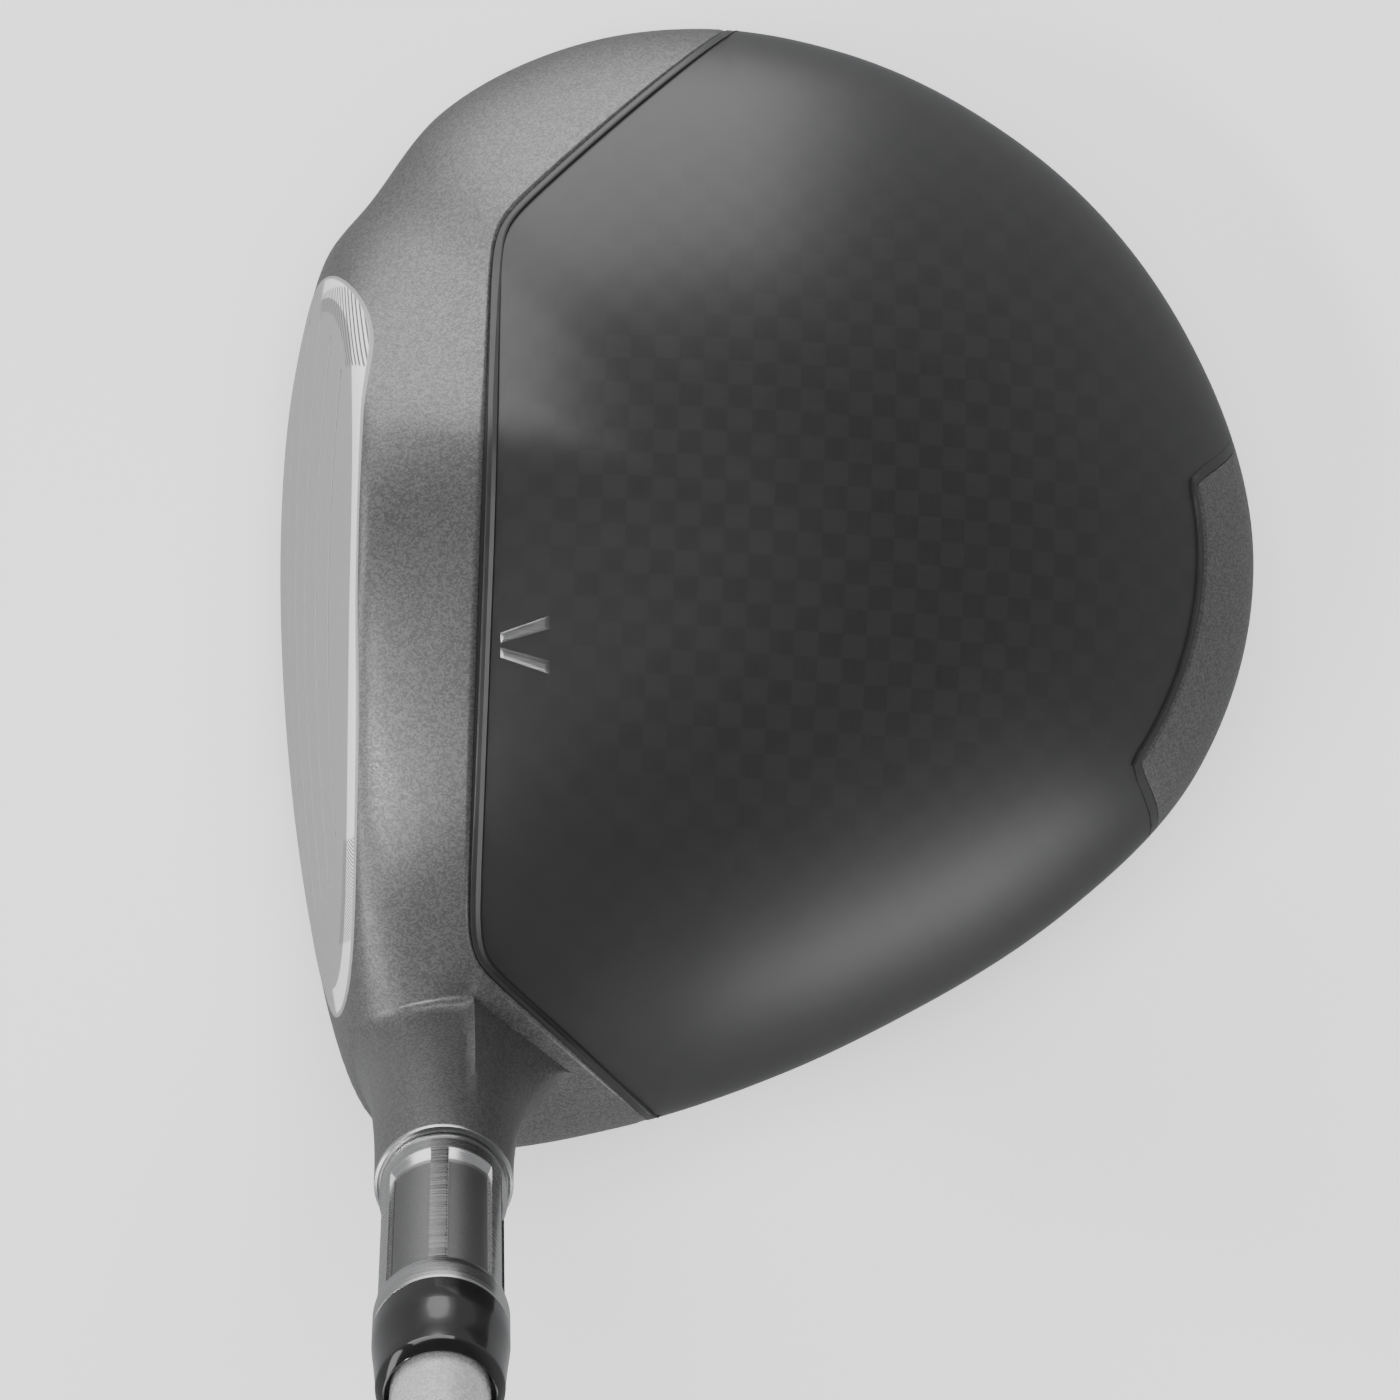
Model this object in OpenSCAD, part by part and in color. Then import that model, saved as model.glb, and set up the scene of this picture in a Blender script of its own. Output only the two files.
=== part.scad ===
// Golf driver, right-handed: hollow head of bonded panels, adjustable hosel
// sleeve, tapered shaft and grip. +X points away from the target, +Y to the toe.
// The origin is the centre of the flat badge that the sole rests on.

/* [Head] */
// Head size from leading edge to back
head_depth = 112; // [100:1:135]
// Head size from toe to heel, without the hosel
head_span = 126; // [112:1:150]
// Height of the crown above the ground
head_height = 61; // [54:0.5:72]
// Loft of the face
loft = 11.6; // [7:0.1:16]
// Radius of the face's curve from heel to toe
bulge_r = 305; // [250:5:420]
// Radius of the face's curve from sole to crown
roll_r = 305; // [250:5:420]
// Wall of the metal body
body_wall = 1.8; // [1.2:0.1:3]
// Wall of the crown and sole panels
panel_wall = 1.2; // [0.8:0.1:2.4]
// Gap between panels, filled with bond
bond_gap = 0.4; // [0.3:0.05:0.8]

/* [Face] */
// Thickness of the face plate
plate_t = 3.6; // [2.5:0.1:5]
// Thickness of the face cover
cover_t = 0.6; // [0.4:0.05:1]

/* [Hosel] */
// Lie angle of the hosel axis
lie = 60; // [56:0.5:64]
// Outer diameter of the hosel
hosel_d = 14.6; // [13.8:0.1:17]
// Bore of the hosel
hosel_bore = 11.9; // [11.3:0.1:12.4]
// Height of the hosel's rim above the ground
rim_z = 65; // [60:0.5:75]
// Distance of the hosel axis behind the leading edge
axis_set_back = 19.4; // [16:0.2:24]
// Angle between the sleeve's shank and its shaft bore
cant = 1.5; // [0:0.25:2]
// Diameter of the sleeve's visible barrel
sleeve_d = 13.3; // [12.8:0.1:15]
// Length of the sleeve's visible barrel
sleeve_l = 27; // [22:0.5:34]
// Number of windows round the sleeve
windows = 6; // [4:1:8]

/* [Shaft] */
// Playing length from the ground to the grip cap
club_length = 1160; // [1050:5:1220]
// Bare tip diameter of the shaft
tip_d = 9.4; // [8.5:0.1:9.6]
// Shaft diameter above the ferrule
shaft_d = 9.8; // [9.4:0.1:10.4]
// Butt diameter of the shaft
butt_d = 15.2; // [14:0.1:16]
// Wall of the shaft
shaft_wall = 1; // [0.7:0.1:1.6]
// Length of the ferrule
ferrule_l = 10; // [8:0.5:20]

/* [Grip] */
// Length of the grip
grip_l = 267; // [230:1:300]
// Grip diameter at its mouth
grip_mouth_d = 19.4; // [18:0.2:22]
// Grip diameter at its cap
grip_cap_d = 27; // [25:0.5:32]

/* [Weight and screws] */
// Diameter of the rear weight
weight_d = 16; // [12:0.5:19]
// Depth of the rear weight
weight_l = 6.5; // [5:0.5:9]
// Thread diameter of both screws
thread_d = 5; // [4:0.5:6]

/* [Hidden] */
$fn = 64;

// The outline of the head seen from above, as [angle, radius] about the
// middle. The stretch past 140 degrees lies outside the face, which cuts it.
outline = [[0, 55.6], [30, 55.3], [60, 57.5], [82, 60.8], [98, 63.6], [112, 65.2],
    [126, 65.4], [140, 63.2], [152, 68], [165, 83], [180, 94], [200, 94], [220, 92], [238, 79],
    [254, 67], [270, 58.5], [288, 53.3], [310, 52], [334, 54.2]];
// The head is drawn at this size and then scaled to the chosen one
drawn_depth = 112;
drawn_span = 126;
drawn_height = 61;
grow = [head_depth / drawn_depth, head_span / drawn_span, head_height / drawn_height];

rim_h = 29;          // height of the widest line
crown_h = 31.5;      // crown above the widest line
sole_h = 28.6;       // sole below the widest line
crown_mix = 0.6;     // 1 is a parabola, 0 an ellipse
sole_mix = 0.5;
front_lift = 0.12;   // raises the crown towards the face
face_x = -54.7;      // face centre, drawn size
face_y = -2;
face_twist = 0.0012; // opens the high toe and closes the low heel
edge_sharp = 60;     // sharpness of the edge between face and body
edge_toe = 28;       // and how much softer it is at the toe
edge_heel = 44;      // and at the heel

function turn(a) = a - 360 * floor(a / 360);
function knot(i) = [outline[(i + len(outline)) % len(outline)][0]
    + 360 * (floor((i + len(outline)) / len(outline)) - 1),
    outline[(i + len(outline)) % len(outline)][1]];
function stretch(a, i = 0) = a < knot(i + 1)[0] ? i : stretch(a, i + 1);
function hermite(t, y0, y1, m0, m1) = (2 * t ^ 3 - 3 * t ^ 2 + 1) * y0
    + (t ^ 3 - 2 * t ^ 2 + t) * m0 + (3 * t ^ 2 - 2 * t ^ 3) * y1 + (t ^ 3 - t ^ 2) * m1;
// Radius of the outline at an angle, smooth through the outline's points
function reach(angle) = let(
    a = turn(angle),
    i = stretch(a),
    k0 = knot(i - 1), k1 = knot(i), k2 = knot(i + 1), k3 = knot(i + 2),
    h = k2[0] - k1[0])
    hermite((a - k1[0]) / h, k1[1], k2[1],
        h * (k2[1] - k0[1]) / (k2[0] - k0[0]), h * (k3[1] - k1[1]) / (k3[0] - k1[0]));

function smooth(t) = let(c = min(1, max(0, t))) c * c * (3 - 2 * c);
function sharpness(a) = edge_sharp - edge_toe * smooth((155 - turn(a)) / 18)
    - edge_heel * smooth((turn(a) - 202) / 30);
// Distance from the middle to the face along a direction
function face_reach(d) = let(
    a = d.y ^ 2 / (2 * bulge_r) + d.z ^ 2 / (2 * roll_r) + face_twist * d.y * d.z,
    b = d.z * tan(loft) - d.x - d.y * face_y / bulge_r - face_twist * face_y * d.z,
    c = face_x + face_y ^ 2 / (2 * bulge_r))
    -2 * c / (b + sqrt(b ^ 2 - 4 * a * c) + 1e-9);
// Point of the head's skin at drawn size: v is 1 at the crown's middle,
// 0 at the widest line and -1 at the sole's middle
function drawn(a, v) = let(
    rho = cos(90 * v),
    s = sin(90 * abs(v)),
    x = reach(a) * rho * cos(a),
    y = reach(a) * rho * sin(a),
    up = crown_h * (crown_mix * (1 - rho ^ 2) + (1 - crown_mix) * s)
        - front_lift * x * (1 - rho ^ 2),
    down = -sole_h * (sole_mix * (1 - rho ^ 2) + (1 - sole_mix) * s),
    p = [x, y, v >= 0 ? up : down],
    t = norm(p),
    d = p / t,
    n = max(16, sharpness(a)))
    d * (t ^ -n + face_reach(d) ^ -n) ^ (-1 / n)
        + [0, 0, rim_h];
function scaled(p) = [p.x * grow.x, p.y * grow.y, p.z * grow.z];
function skin(a, v) = scaled(drawn(a, v));
function unit(w) = w / norm(w);
// Outward normal, taken just off the poles
function outward(a, v) = let(w = min(0.985, max(-0.985, v)))
    unit(cross(skin(a, w - 0.01) - skin(a, w + 0.01), skin(a + 1, w) - skin(a - 1, w)));
// Point under the skin on the line to the head's middle, so that no wall
// folds over itself at a sharp edge
middle = [0, 0, rim_h * grow.z];
function inner(a, v, depth) = let(p = skin(a, v), d = unit(p - middle))
    p - d * depth / max(0.6, outward(a, v) * d);

// v at which the skin has a given plan radius: side is 1 crown, -1 sole
function v_at(a, r, side, lo = 0, hi = 1, n = 12) = let(mid = (lo + hi) / 2)
    n == 0 ? side * mid
    : norm([drawn(a, side * mid).x, drawn(a, side * mid).y]) > r
        ? v_at(a, r, side, mid, hi, n - 1) : v_at(a, r, side, lo, mid, n - 1);
// Rounded join of straight lines, each [angle of its normal, distance]
function line_reach(a, line) = line[1] / max(0.02, cos(a - line[0]));
function lines_reach(a, lines, p) =
    (line_reach(a, lines[0]) ^ -p + line_reach(a, lines[1]) ^ -p
    + line_reach(a, lines[2]) ^ -p) ^ (-1 / p);

// Rear housing: from one angle to the other, past the back
housing_from = -37.5;
housing_to = 17.5;
housing_ramp = 8;
housing_v = 0.33;
housing_sole_v = -0.62;
function housing_share(a) = let(b = a > 180 ? a - 360 : a)
    smooth((b - housing_from) / housing_ramp) * smooth((housing_to - b) / housing_ramp);

// Edge of the crown panel: three straight seams in front, the rim behind
crown_seams = [[178.1, 34.1], [134.4, 48.65], [228.8, 57.8]];
seam_round = 36;
rim_v = -0.05;
function crown_edge(a) = max(
    v_at(a, lines_reach(a, crown_seams, seam_round), 1),
    rim_v + (housing_v - rim_v) * housing_share(a));
// Edge of the sole panel
sole_seams = [[180, 24], [128, 38], [232, 38]];
sole_side_v = -0.34;
function sole_edge(a) = min(
    v_at(a, lines_reach(a, sole_seams, seam_round), -1),
    sole_side_v + (housing_sole_v - sole_side_v) * housing_share(a));

// Half of the bond gap as a share of v
half_gap = bond_gap / head_depth * 0.57;
gap_a = 0.25;          // half the gap between body and housing, in degrees
// Angles that every skin shares, closer together round the housing
ring = concat([for (a = [0 : 2.5 : housing_to - 1]) a], [housing_to - gap_a, housing_to + gap_a],
    [for (a = [housing_to + 2.5 : 5 : 359 + housing_from]) a],
    [360 + housing_from - gap_a, 360 + housing_from + gap_a],
    [for (a = [362.5 + housing_from : 2.5 : 359]) a]);
function mix(a, b, t) = a + (b - a) * t;

// Closed panel over one pole, from its edge to the middle, both faces
module cap_panel(edges, pole, rows, top, bottom) {
    n = len(edges);
    outer = [for (i = [0 : rows - 1]) for (j = [0 : n - 1])
        inner(ring[j], mix(edges[j], pole, i / rows), top)];
    under = [for (i = [0 : rows - 1]) for (j = [0 : n - 1])
        inner(ring[j], mix(edges[j], pole, i / rows), bottom)];
    m = n * rows;
    up = pole > 0;
    tris = [for (i = [0 : rows - 2]) for (j = [0 : n - 1]) let(k = (j + 1) % n)
        each [[i * n + j, i * n + n + j, i * n + n + k], [i * n + j, i * n + n + k, i * n + k]]];
    fan = [for (j = [0 : n - 1]) [m - n + j, m, m - n + (j + 1) % n]];
    one = concat(tris, fan);
    two = [for (f = one) [f[2] + m + 1, f[1] + m + 1, f[0] + m + 1]];
    wall = [for (j = [0 : n - 1]) let(k = (j + 1) % n)
        each [[j, k, k + m + 1], [j, k + m + 1, j + m + 1]]];
    all = concat(one, two, wall);
    polyhedron(concat(outer, [inner(0, pole, top)], under, [inner(0, pole, bottom)]),
        up ? all : [for (f = all) [f[2], f[1], f[0]]]);
}

// v of the edge between the face and the rest: side is 1 above, -1 below
function off_face(a, v) = let(rho = cos(90 * v), s = sin(90 * v),
    x = reach(a) * rho * cos(a),
    p = [x, reach(a) * rho * sin(a), v > 0
        ? crown_h * (crown_mix * (1 - rho ^ 2) + (1 - crown_mix) * s)
            - front_lift * x * (1 - rho ^ 2)
        : -sole_h * (sole_mix * (1 - rho ^ 2) - (1 - sole_mix) * s)])
    norm(p) < face_reach(p / norm(p));
function face_edge_v(a, side, lo = 0, hi = 0.95, n = 10) = let(mid = (lo + hi) / 2)
    n == 0 ? side * mid
    : off_face(a, side * mid) ? face_edge_v(a, side, lo, mid, n - 1)
        : face_edge_v(a, side, mid, hi, n - 1);
// Places across a strip, with a row on each edge of the face
function across(a, top, bottom, rows) = let(
    third = rows / 3,
    high = min(top - 0.02, max(face_edge_v(a, 1), mix(top, bottom, 1 / 3))),
    low = max(bottom + 0.02, min(face_edge_v(a, -1), mix(top, bottom, 2 / 3))))
    [for (i = [0 : rows]) i < third ? mix(top, high, i / third)
        : i < 2 * third ? mix(high, low, i / third - 1) : mix(low, bottom, i / third - 2)];

// Strip between two edges along a run of angles, both faces: its ends are
// walled, or joined to each other on a whole turn
module strip_panel(angles, tops, bottoms, rows, top, bottom, whole = false) {
    n = len(angles);
    last = whole ? n - 1 : n - 2;
    w = rows + 1;
    m = n * w;
    vs = [for (j = [0 : n - 1]) rows > 2 ? across(angles[j], tops[j], bottoms[j], rows)
        : [for (i = [0 : rows]) mix(tops[j], bottoms[j], i / rows)]];
    points = [for (depth = [top, bottom]) for (j = [0 : n - 1]) for (i = [0 : rows])
        inner(angles[j], vs[j][i], depth)];
    tris = [for (j = [0 : last]) for (i = [0 : rows - 1])
        let(p = j * w + i, q = (j + 1) % n * w + i)
        each [[p, q, q + 1], [p, q + 1, p + 1]]];
    back = [for (f = tris) [f[2] + m, f[1] + m, f[0] + m]];
    sides = [for (j = [0 : last])
        let(p = j * w, q = (j + 1) % n * w, r = p + rows, s = q + rows)
        each [[p, p + m, q + m], [p, q + m, q], [r, s, s + m], [r, s + m, r + m]]];
    e = m - w;
    ends = [for (i = [0 : rows - 1])
        each [[i, i + 1, i + 1 + m], [i, i + 1 + m, i + m],
            [e + i, e + i + m, e + i + 1 + m], [e + i, e + i + 1 + m, e + i + 1]]];
    polyhedron(points, concat(tris, back, sides, whole ? [] : ends));
}

// Whole head as a solid, a little inside the skin
module head_solid(depth) {
    rows = 36;
    n = len(ring);
    points = concat([inner(0, 1, depth)], [for (i = [1 : rows - 1]) for (a = ring)
        inner(a, 1 - 2 * i / rows, depth)], [inner(0, -1, depth)]);
    last = len(points) - 1;
    sides = [for (i = [0 : rows - 3]) for (j = [0 : n - 1])
        let(p = 1 + i * n + j, q = 1 + i * n + (j + 1) % n)
        each [[p, p + n, q + n], [p, q + n, q]]];
    tops = [for (j = [0 : n - 1]) [0, 1 + j, 1 + (j + 1) % n]];
    feet = [for (j = [0 : n - 1]) [last, last - n + (j + 1) % n, last - n + j]];
    polyhedron(points, [for (f = concat(sides, tops, feet)) [f[2], f[1], f[0]]]);
}

// Face: outline about its middle in the Y and Z directions
face_mid = [-6, 31.5];
function face_radius(b) = let(
    c = cos(b), s = sin(b),
    wide = c > 0 ? 39 : 46,
    high = s > 0 ? 26.4 : 20,
    lean = 2.2)
    (abs(c / wide) ^ lean + abs(s / high) ^ lean) ^ (-1 / lean);
// Place on the face, as an angle and the v straight behind it
function v_toward(a, rise, lo = -0.97, hi = 0.97, n = 20) = let(
    mid = (lo + hi) / 2,
    p = drawn(a, mid))
    n == 0 ? mid
    : p.z - rim_h > rise * norm([p.x, p.y]) ? v_toward(a, rise, lo, mid, n - 1)
        : v_toward(a, rise, mid, hi, n - 1);
function face_place(y, z) = let(
    u = y - face_y,
    w = z - rim_h,
    x = face_x + w * tan(loft) + u ^ 2 / (2 * bulge_r) + w ^ 2 / (2 * roll_r)
        + face_twist * u * w,
    a = atan2(y, x))
    [a, v_toward(a, w / norm([x, y]))];
// Closed plate that follows the face between two depths
module face_layer(front, back, inset, rows, n) {
    places = concat([face_place(face_mid[0], face_mid[1])],
        [for (i = [1 : rows]) for (j = [0 : n - 1]) let(
            b = 360 * j / n,
            r = (face_radius(b) - inset) * i / rows)
            face_place(face_mid[0] + r * cos(b), face_mid[1] + r * sin(b))]);
    rings = [for (d = [front, back]) [for (p = places) inner(p[0], p[1], d)]];
    m = 1 + rows * n;
    fan = [for (j = [0 : n - 1]) [0, 1 + j, 1 + (j + 1) % n]];
    tris = [for (i = [0 : rows - 2]) for (j = [0 : n - 1])
        let(p = 1 + i * n + j, q = 1 + i * n + (j + 1) % n)
        each [[p, q + n, q], [p, p + n, q + n]]];
    one = concat(fan, tris);
    two = [for (f = one) [f[2] + m, f[1] + m, f[0] + m]];
    edge = [for (j = [0 : n - 1]) let(p = m - n + j, q = m - n + (j + 1) % n)
        each [[p, q + m, q], [p, p + m, q + m]]];
    polyhedron(concat(rings[0], rings[1]), concat(one, two, edge));
}

// Hosel frame: z along the axis, 0 at the rim
rim_y = -69.5 * grow.y;
axis_x = -57.2 * grow.x + axis_set_back;
up_axis = [0, -cos(lie), sin(lie)];
module on_hosel() {
    translate([axis_x, rim_y, rim_z]) rotate([90 - lie, 0, 0]) children();
}
function hosel_point(r, a, s) = [axis_x, rim_y, rim_z] + s * up_axis
    + r * cos(a) * [1, 0, 0] + r * sin(a) * [0, sin(lie), cos(lie)];

hosel_r = hosel_d / 2;
bore_r = hosel_bore / 2;
fit = 0.05;            // running fit on a radius
shank_r = bore_r - fit;
shelf_s = -36;         // top of the shelf that the screw pulls against
shelf_t = 3;
access_r = 4.8;
tube_foot_s = -72;
splines = 12;
spline_w = 1.1;
spline_h = 0.5;
spline_s = -7;
spline_l = 4;

// Neck: a flare from the head's skin to the hosel's rim
neck_a = 236;
neck_v = 0.36;
neck_turn = -34;       // lines the flare's loop up with the hosel
function neck_base(b, share, depth) = let(
    c = cos(b), s = sin(b),
    da = (c > 0 ? 12 : 8) * c * share,
    dv = (s > 0 ? 0.11 : 0.3) * s * share)
    inner(neck_a + da, min(neck_v + dv, crown_edge(neck_a + da) - neck_clear), depth);
neck_clear = 0.03;     // between the flare and the crown seam
neck_sink = 0.2;
neck_pull = 16;
function bezier(p, q, r, s, t) = (1 - t) ^ 3 * p + 3 * (1 - t) ^ 2 * t * q
    + 3 * (1 - t) * t ^ 2 * r + t ^ 3 * s;
module neck() {
    n = 32;
    rows = 7;
    top_s = 0;
    foot = [for (j = [0 : n - 1]) neck_base(360 * j / n, 1, body_wall * 0.8)];
    flare = [for (i = [0 : rows]) for (j = [0 : n - 1]) let(b = 360 * j / n)
        bezier(neck_base(b, 1, neck_sink), neck_base(b, 0.75, neck_sink),
            hosel_point(hosel_r, b + neck_turn, top_s - neck_pull),
            hosel_point(hosel_r, b + neck_turn, top_s), i / rows)];
    points = concat(foot, flare, [inner(neck_a, neck_v, 4)],
        [hosel_point(0, 0, top_s)]);
    last = len(points) - 1;
    sides = [for (i = [0 : rows]) for (j = [0 : n - 1])
        let(p = i * n + j, q = i * n + (j + 1) % n)
        each [[p, p + n, q + n], [p, q + n, q]]];
    lid = [for (j = [0 : n - 1]) [last, last - 1 - n + (j + 1) % n, last - 1 - n + j]];
    base = [for (j = [0 : n - 1]) [last - 1, j, (j + 1) % n]];
    polyhedron(points, concat(sides, lid, base));
}

// Rear weight frame: z points out of the sole at the back
weight_a = -10;
weight_v = -0.45;
weight_at = skin(weight_a, weight_v);
weight_dir = outward(weight_a, weight_v);
module on_weight() {
    translate(weight_at)
        rotate([0, acos(weight_dir.z), atan2(weight_dir.y, weight_dir.x)]) children();
}
weight_sink = 0.8;
weight_gap = 0.1;
boss_wall = 1.8;
pocket_floor = weight_sink + weight_l + 0.1;

// Sole slot behind the leading edge
slot_mid = -41 * grow.x;
slot_w = 4.4;
slot_l = 62;
slot_y = -4;
slot_gap = 0.06;
module slot_block(gap) {
    translate([slot_mid, slot_y, 0]) linear_extrude(24) hull() {
        for (s = [-1, 1]) translate([0, s * (slot_l - slot_w) / 2])
            circle(slot_w / 2 - gap, $fn = 24);
    }
}

module body_shell() {
    span = [for (a = ring) if (a > housing_to && a < 360 + housing_from) a];
    strip_panel(span, [for (a = span) crown_edge(a) - half_gap],
        [for (a = span) sole_edge(a) + half_gap], 15, 0, body_wall);
}

module titanium_body() {
    color("dimgray") difference() {
        resize([0, 0, 0]) difference() {
            union() {
                body_shell();
                neck();
                intersection() {
                    head_solid(0.4);
                    union() {
                        on_hosel() translate([0, 0, tube_foot_s])
                            cylinder(h = -tube_foot_s - 8, r = hosel_r - 0.4, $fn = 32);
                        difference() {
                            face_layer(0.9, plate_t + cover_t + 1.8, -2.5, 3, 30);
                            face_layer(0, 12, 4, 2, 28);
                        }
                    }
                }
            }
            face_layer(-6, plate_t + cover_t + 0.1, -0.1, 3, 48);
            slot_block(0);
        }
        on_hosel() {
            translate([0, 0, shelf_s]) cylinder(h = 60, r = bore_r);
            translate([0, 0, shelf_s - 10]) cylinder(h = 20, r = thread_d / 2 + 0.3);
            translate([0, 0, tube_foot_s - 20]) cylinder(h = shelf_s - shelf_t - tube_foot_s + 20,
                r = access_r);
            for (i = [0 : splines - 1]) rotate(i * 360 / splines)
                translate([0, -(spline_w / 2 + 0.12), spline_s - 0.4])
                    cube([bore_r + spline_h + 0.12, spline_w + 0.24, 60]);
        }
    }
}

module crown_panel() {
    color("#3c3d3f") cap_panel([for (a = ring) crown_edge(a) + half_gap], 1, 10, 0, panel_wall);
}

module bond_line(edges) {
    strip_panel(ring, [for (e = edges) e + half_gap * 0.98],
        [for (e = edges) e - half_gap * 0.98], 1, 0.3, 1.1, true);
}

module crown_bond() {
    color("black") bond_line([for (a = ring) crown_edge(a)]);
}

module sole_panel() {
    color("#2c2d2f") difference() {
        cap_panel([for (a = ring) sole_edge(a) - half_gap], -1, 8, 0, panel_wall);
        translate([0, 0, -5]) cylinder(h = 5 + badge_t + 0.05, r = badge_r + 0.1);
    }
}

module sole_bond() {
    color("black") bond_line([for (a = ring) sole_edge(a)]);
}

badge_r = 12;
badge_t = 1;
module sole_badge() {
    color("silver") difference() {
        cylinder(h = badge_t, r = badge_r);
        translate([0, 0, -1]) difference() {
            cylinder(h = 1.3, r = badge_r - 2);
            translate([0, 0, -1]) cylinder(h = 4, r = badge_r - 2.6);
        }
    }
}

module face_plate() {
    color("#333333") face_layer(cover_t, plate_t + cover_t, 0, 5, 48);
}

module face_cover() {
    color("lightgray") face_layer(-0.08, cover_t, 0, 5, 48);
}

module rear_housing() {
    angles = concat([for (a = ring) if (a > 360 + housing_from) a],
        [for (a = ring) if (a < housing_to) a + 360]);
    color("dimgray") difference() {
        resize([0, 0, 0]) union() {
            strip_panel(angles, [for (a = angles) crown_edge(turn(a)) - half_gap],
                [for (a = angles) sole_edge(turn(a)) + half_gap], 12, 0, body_wall);
            intersection() {
                head_solid(0.4);
                on_weight() translate([0, 0, -pocket_floor - 4]) rotate(3)
                    cylinder(h = 20, r = weight_d / 2 + boss_wall, $fn = 40);
            }
        }
        on_weight() {
            translate([0, 0, -pocket_floor]) cylinder(h = 40, r = weight_d / 2 + weight_gap);
            translate([0, 0, -pocket_floor - 10]) cylinder(h = 20, r = thread_d / 2 + 0.05);
        }
    }
}

screw_head_r = 3.4;
module rear_weight() {
    color("gray") on_weight() translate([0, 0, -weight_sink - weight_l]) difference() {
        cylinder(h = weight_l, r = weight_d / 2);
        translate([0, 0, -1]) cylinder(h = weight_l + 2, r = thread_d / 2 + 0.1);
        translate([0, 0, weight_l - 3.2]) cylinder(h = 5, r = screw_head_r + 0.1);
    }
}

// Screw along +Z with its head's top at 0 and a six-lobed socket
module socket_screw(head_r, head_l, shank_l) {
    difference() {
        union() {
            translate([0, 0, -head_l]) cylinder(h = head_l, r = head_r);
            translate([0, 0, -head_l - shank_l]) cylinder(h = shank_l + 0.1, r = thread_d / 2);
        }
        translate([0, 0, -head_l * 0.7]) {
            cylinder(h = head_l, r = head_r * 0.42);
            for (i = [0 : 5]) rotate(i * 60) translate([head_r * 0.42, 0, 0])
                cylinder(h = head_l, r = head_r * 0.13, $fn = 24);
        }
    }
}

module rear_weight_screw() {
    color("silver") on_weight() translate([0, 0, -weight_sink - 0.1])
        socket_screw(screw_head_r, 3, weight_l);
}

module sole_slot_insert() {
    color("#1c1c1c") intersection() {
        resize([0, 0, 0]) strip_panel([for (a = [136 : 4 : 228]) a],
            [for (a = [136 : 4 : 228]) -0.36], [for (a = [136 : 4 : 228]) -0.92], 12, 0.25, 3);
        slot_block(slot_gap);
    }
}

// Plain chevron on the crown, a pair of slim bars
mark_at = [-29.3, -12.3];
module alignment_mark() {
    color("silver") resize([0, 0, 0]) intersection() {
        difference() {
            head_solid(-0.12);
            head_solid(0.03);
        }
        for (s = [-1, 1]) translate([mark_at.x * grow.x, mark_at.y * grow.y, head_height - 12])
            linear_extrude(20) polygon([[-2.6, 0.15 * s], [-2.6, 1.3 * s], [2.6, 3.1 * s],
                [2.6, 1.6 * s]]);
    }
}

barrel_r = sleeve_d / 2;
ring_r = barrel_r + 0.15;
ring_l = 4;
window_depth = 0.65;
rib_a = 16;
pivot_s = sleeve_l - 3;
shaft_foot_s = -4;
shank_foot_s = -28;
// Shaft frame: z along the shaft, 0 where it crosses the hosel axis
module on_shaft() {
    on_hosel() translate([0, 0, pivot_s]) rotate([cant, 0, 0]) children();
}
shaft_foot = shaft_foot_s - pivot_s;

module sleeve_window() {
    rotate_extrude(angle = 360 / windows - rib_a) polygon([
        [barrel_r - window_depth, 4.6], [barrel_r + 1, 0.4],
        [barrel_r + 1, sleeve_l - ring_l + 1.6], [barrel_r - window_depth, sleeve_l - ring_l - 0.6]]);
}

module loft_sleeve() {
    color("silver") difference() {
        on_hosel() difference() {
            union() {
                rotate_extrude() polygon([[0, shank_foot_s], [shank_r - 0.8, shank_foot_s],
                    [shank_r, shank_foot_s + 0.8], [shank_r, 0.05], [barrel_r, 0.05],
                    [barrel_r, sleeve_l - ring_l], [ring_r, sleeve_l - ring_l + 1.2],
                    [ring_r, sleeve_l], [0, sleeve_l]]);
                for (i = [0 : splines - 1]) rotate(i * 360 / splines)
                    translate([0, -spline_w / 2, spline_s]) cube([bore_r + spline_h - 0.1,
                        spline_w, spline_l]);
            }
            for (i = [0 : windows - 1]) rotate(i * 360 / windows + 90 + rib_a / 2 + 3)
                sleeve_window();
            translate([0, 0, shank_foot_s - 1]) cylinder(h = 16, r = thread_d / 2 + 0.05);
            translate([0, 0, ring_groove_s - o_ring_r - 0.1]) rotate_extrude()
                translate([shank_r - 2 * o_ring_r - 0.03, 0]) square([2, 2 * o_ring_r + 0.2]);
        }
        on_shaft() translate([0, 0, shaft_foot]) cylinder(h = 60, r = tip_d / 2 + 0.05);
    }
}

o_ring_r = 0.5;
ring_groove_s = -20;
module sleeve_o_ring() {
    color("#202020") on_hosel() translate([0, 0, ring_groove_s]) rotate_extrude()
        translate([shank_r - o_ring_r + 0.02, 0]) circle(r = o_ring_r);
}

module hosel_screw() {
    color("silver") on_hosel() translate([0, 0, shelf_s - shelf_t - 0.7])
        rotate([180, 0, 0]) translate([0, 0, 4]) socket_screw(4.1, 4, 19.5);
}

module hosel_screw_washer() {
    color("gray") on_hosel() translate([0, 0, shelf_s - shelf_t - 0.65]) difference() {
        cylinder(h = 0.6, r = access_r - 0.1);
        translate([0, 0, -1]) cylinder(h = 3, r = thread_d / 2 + 0.2);
    }
}

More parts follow.
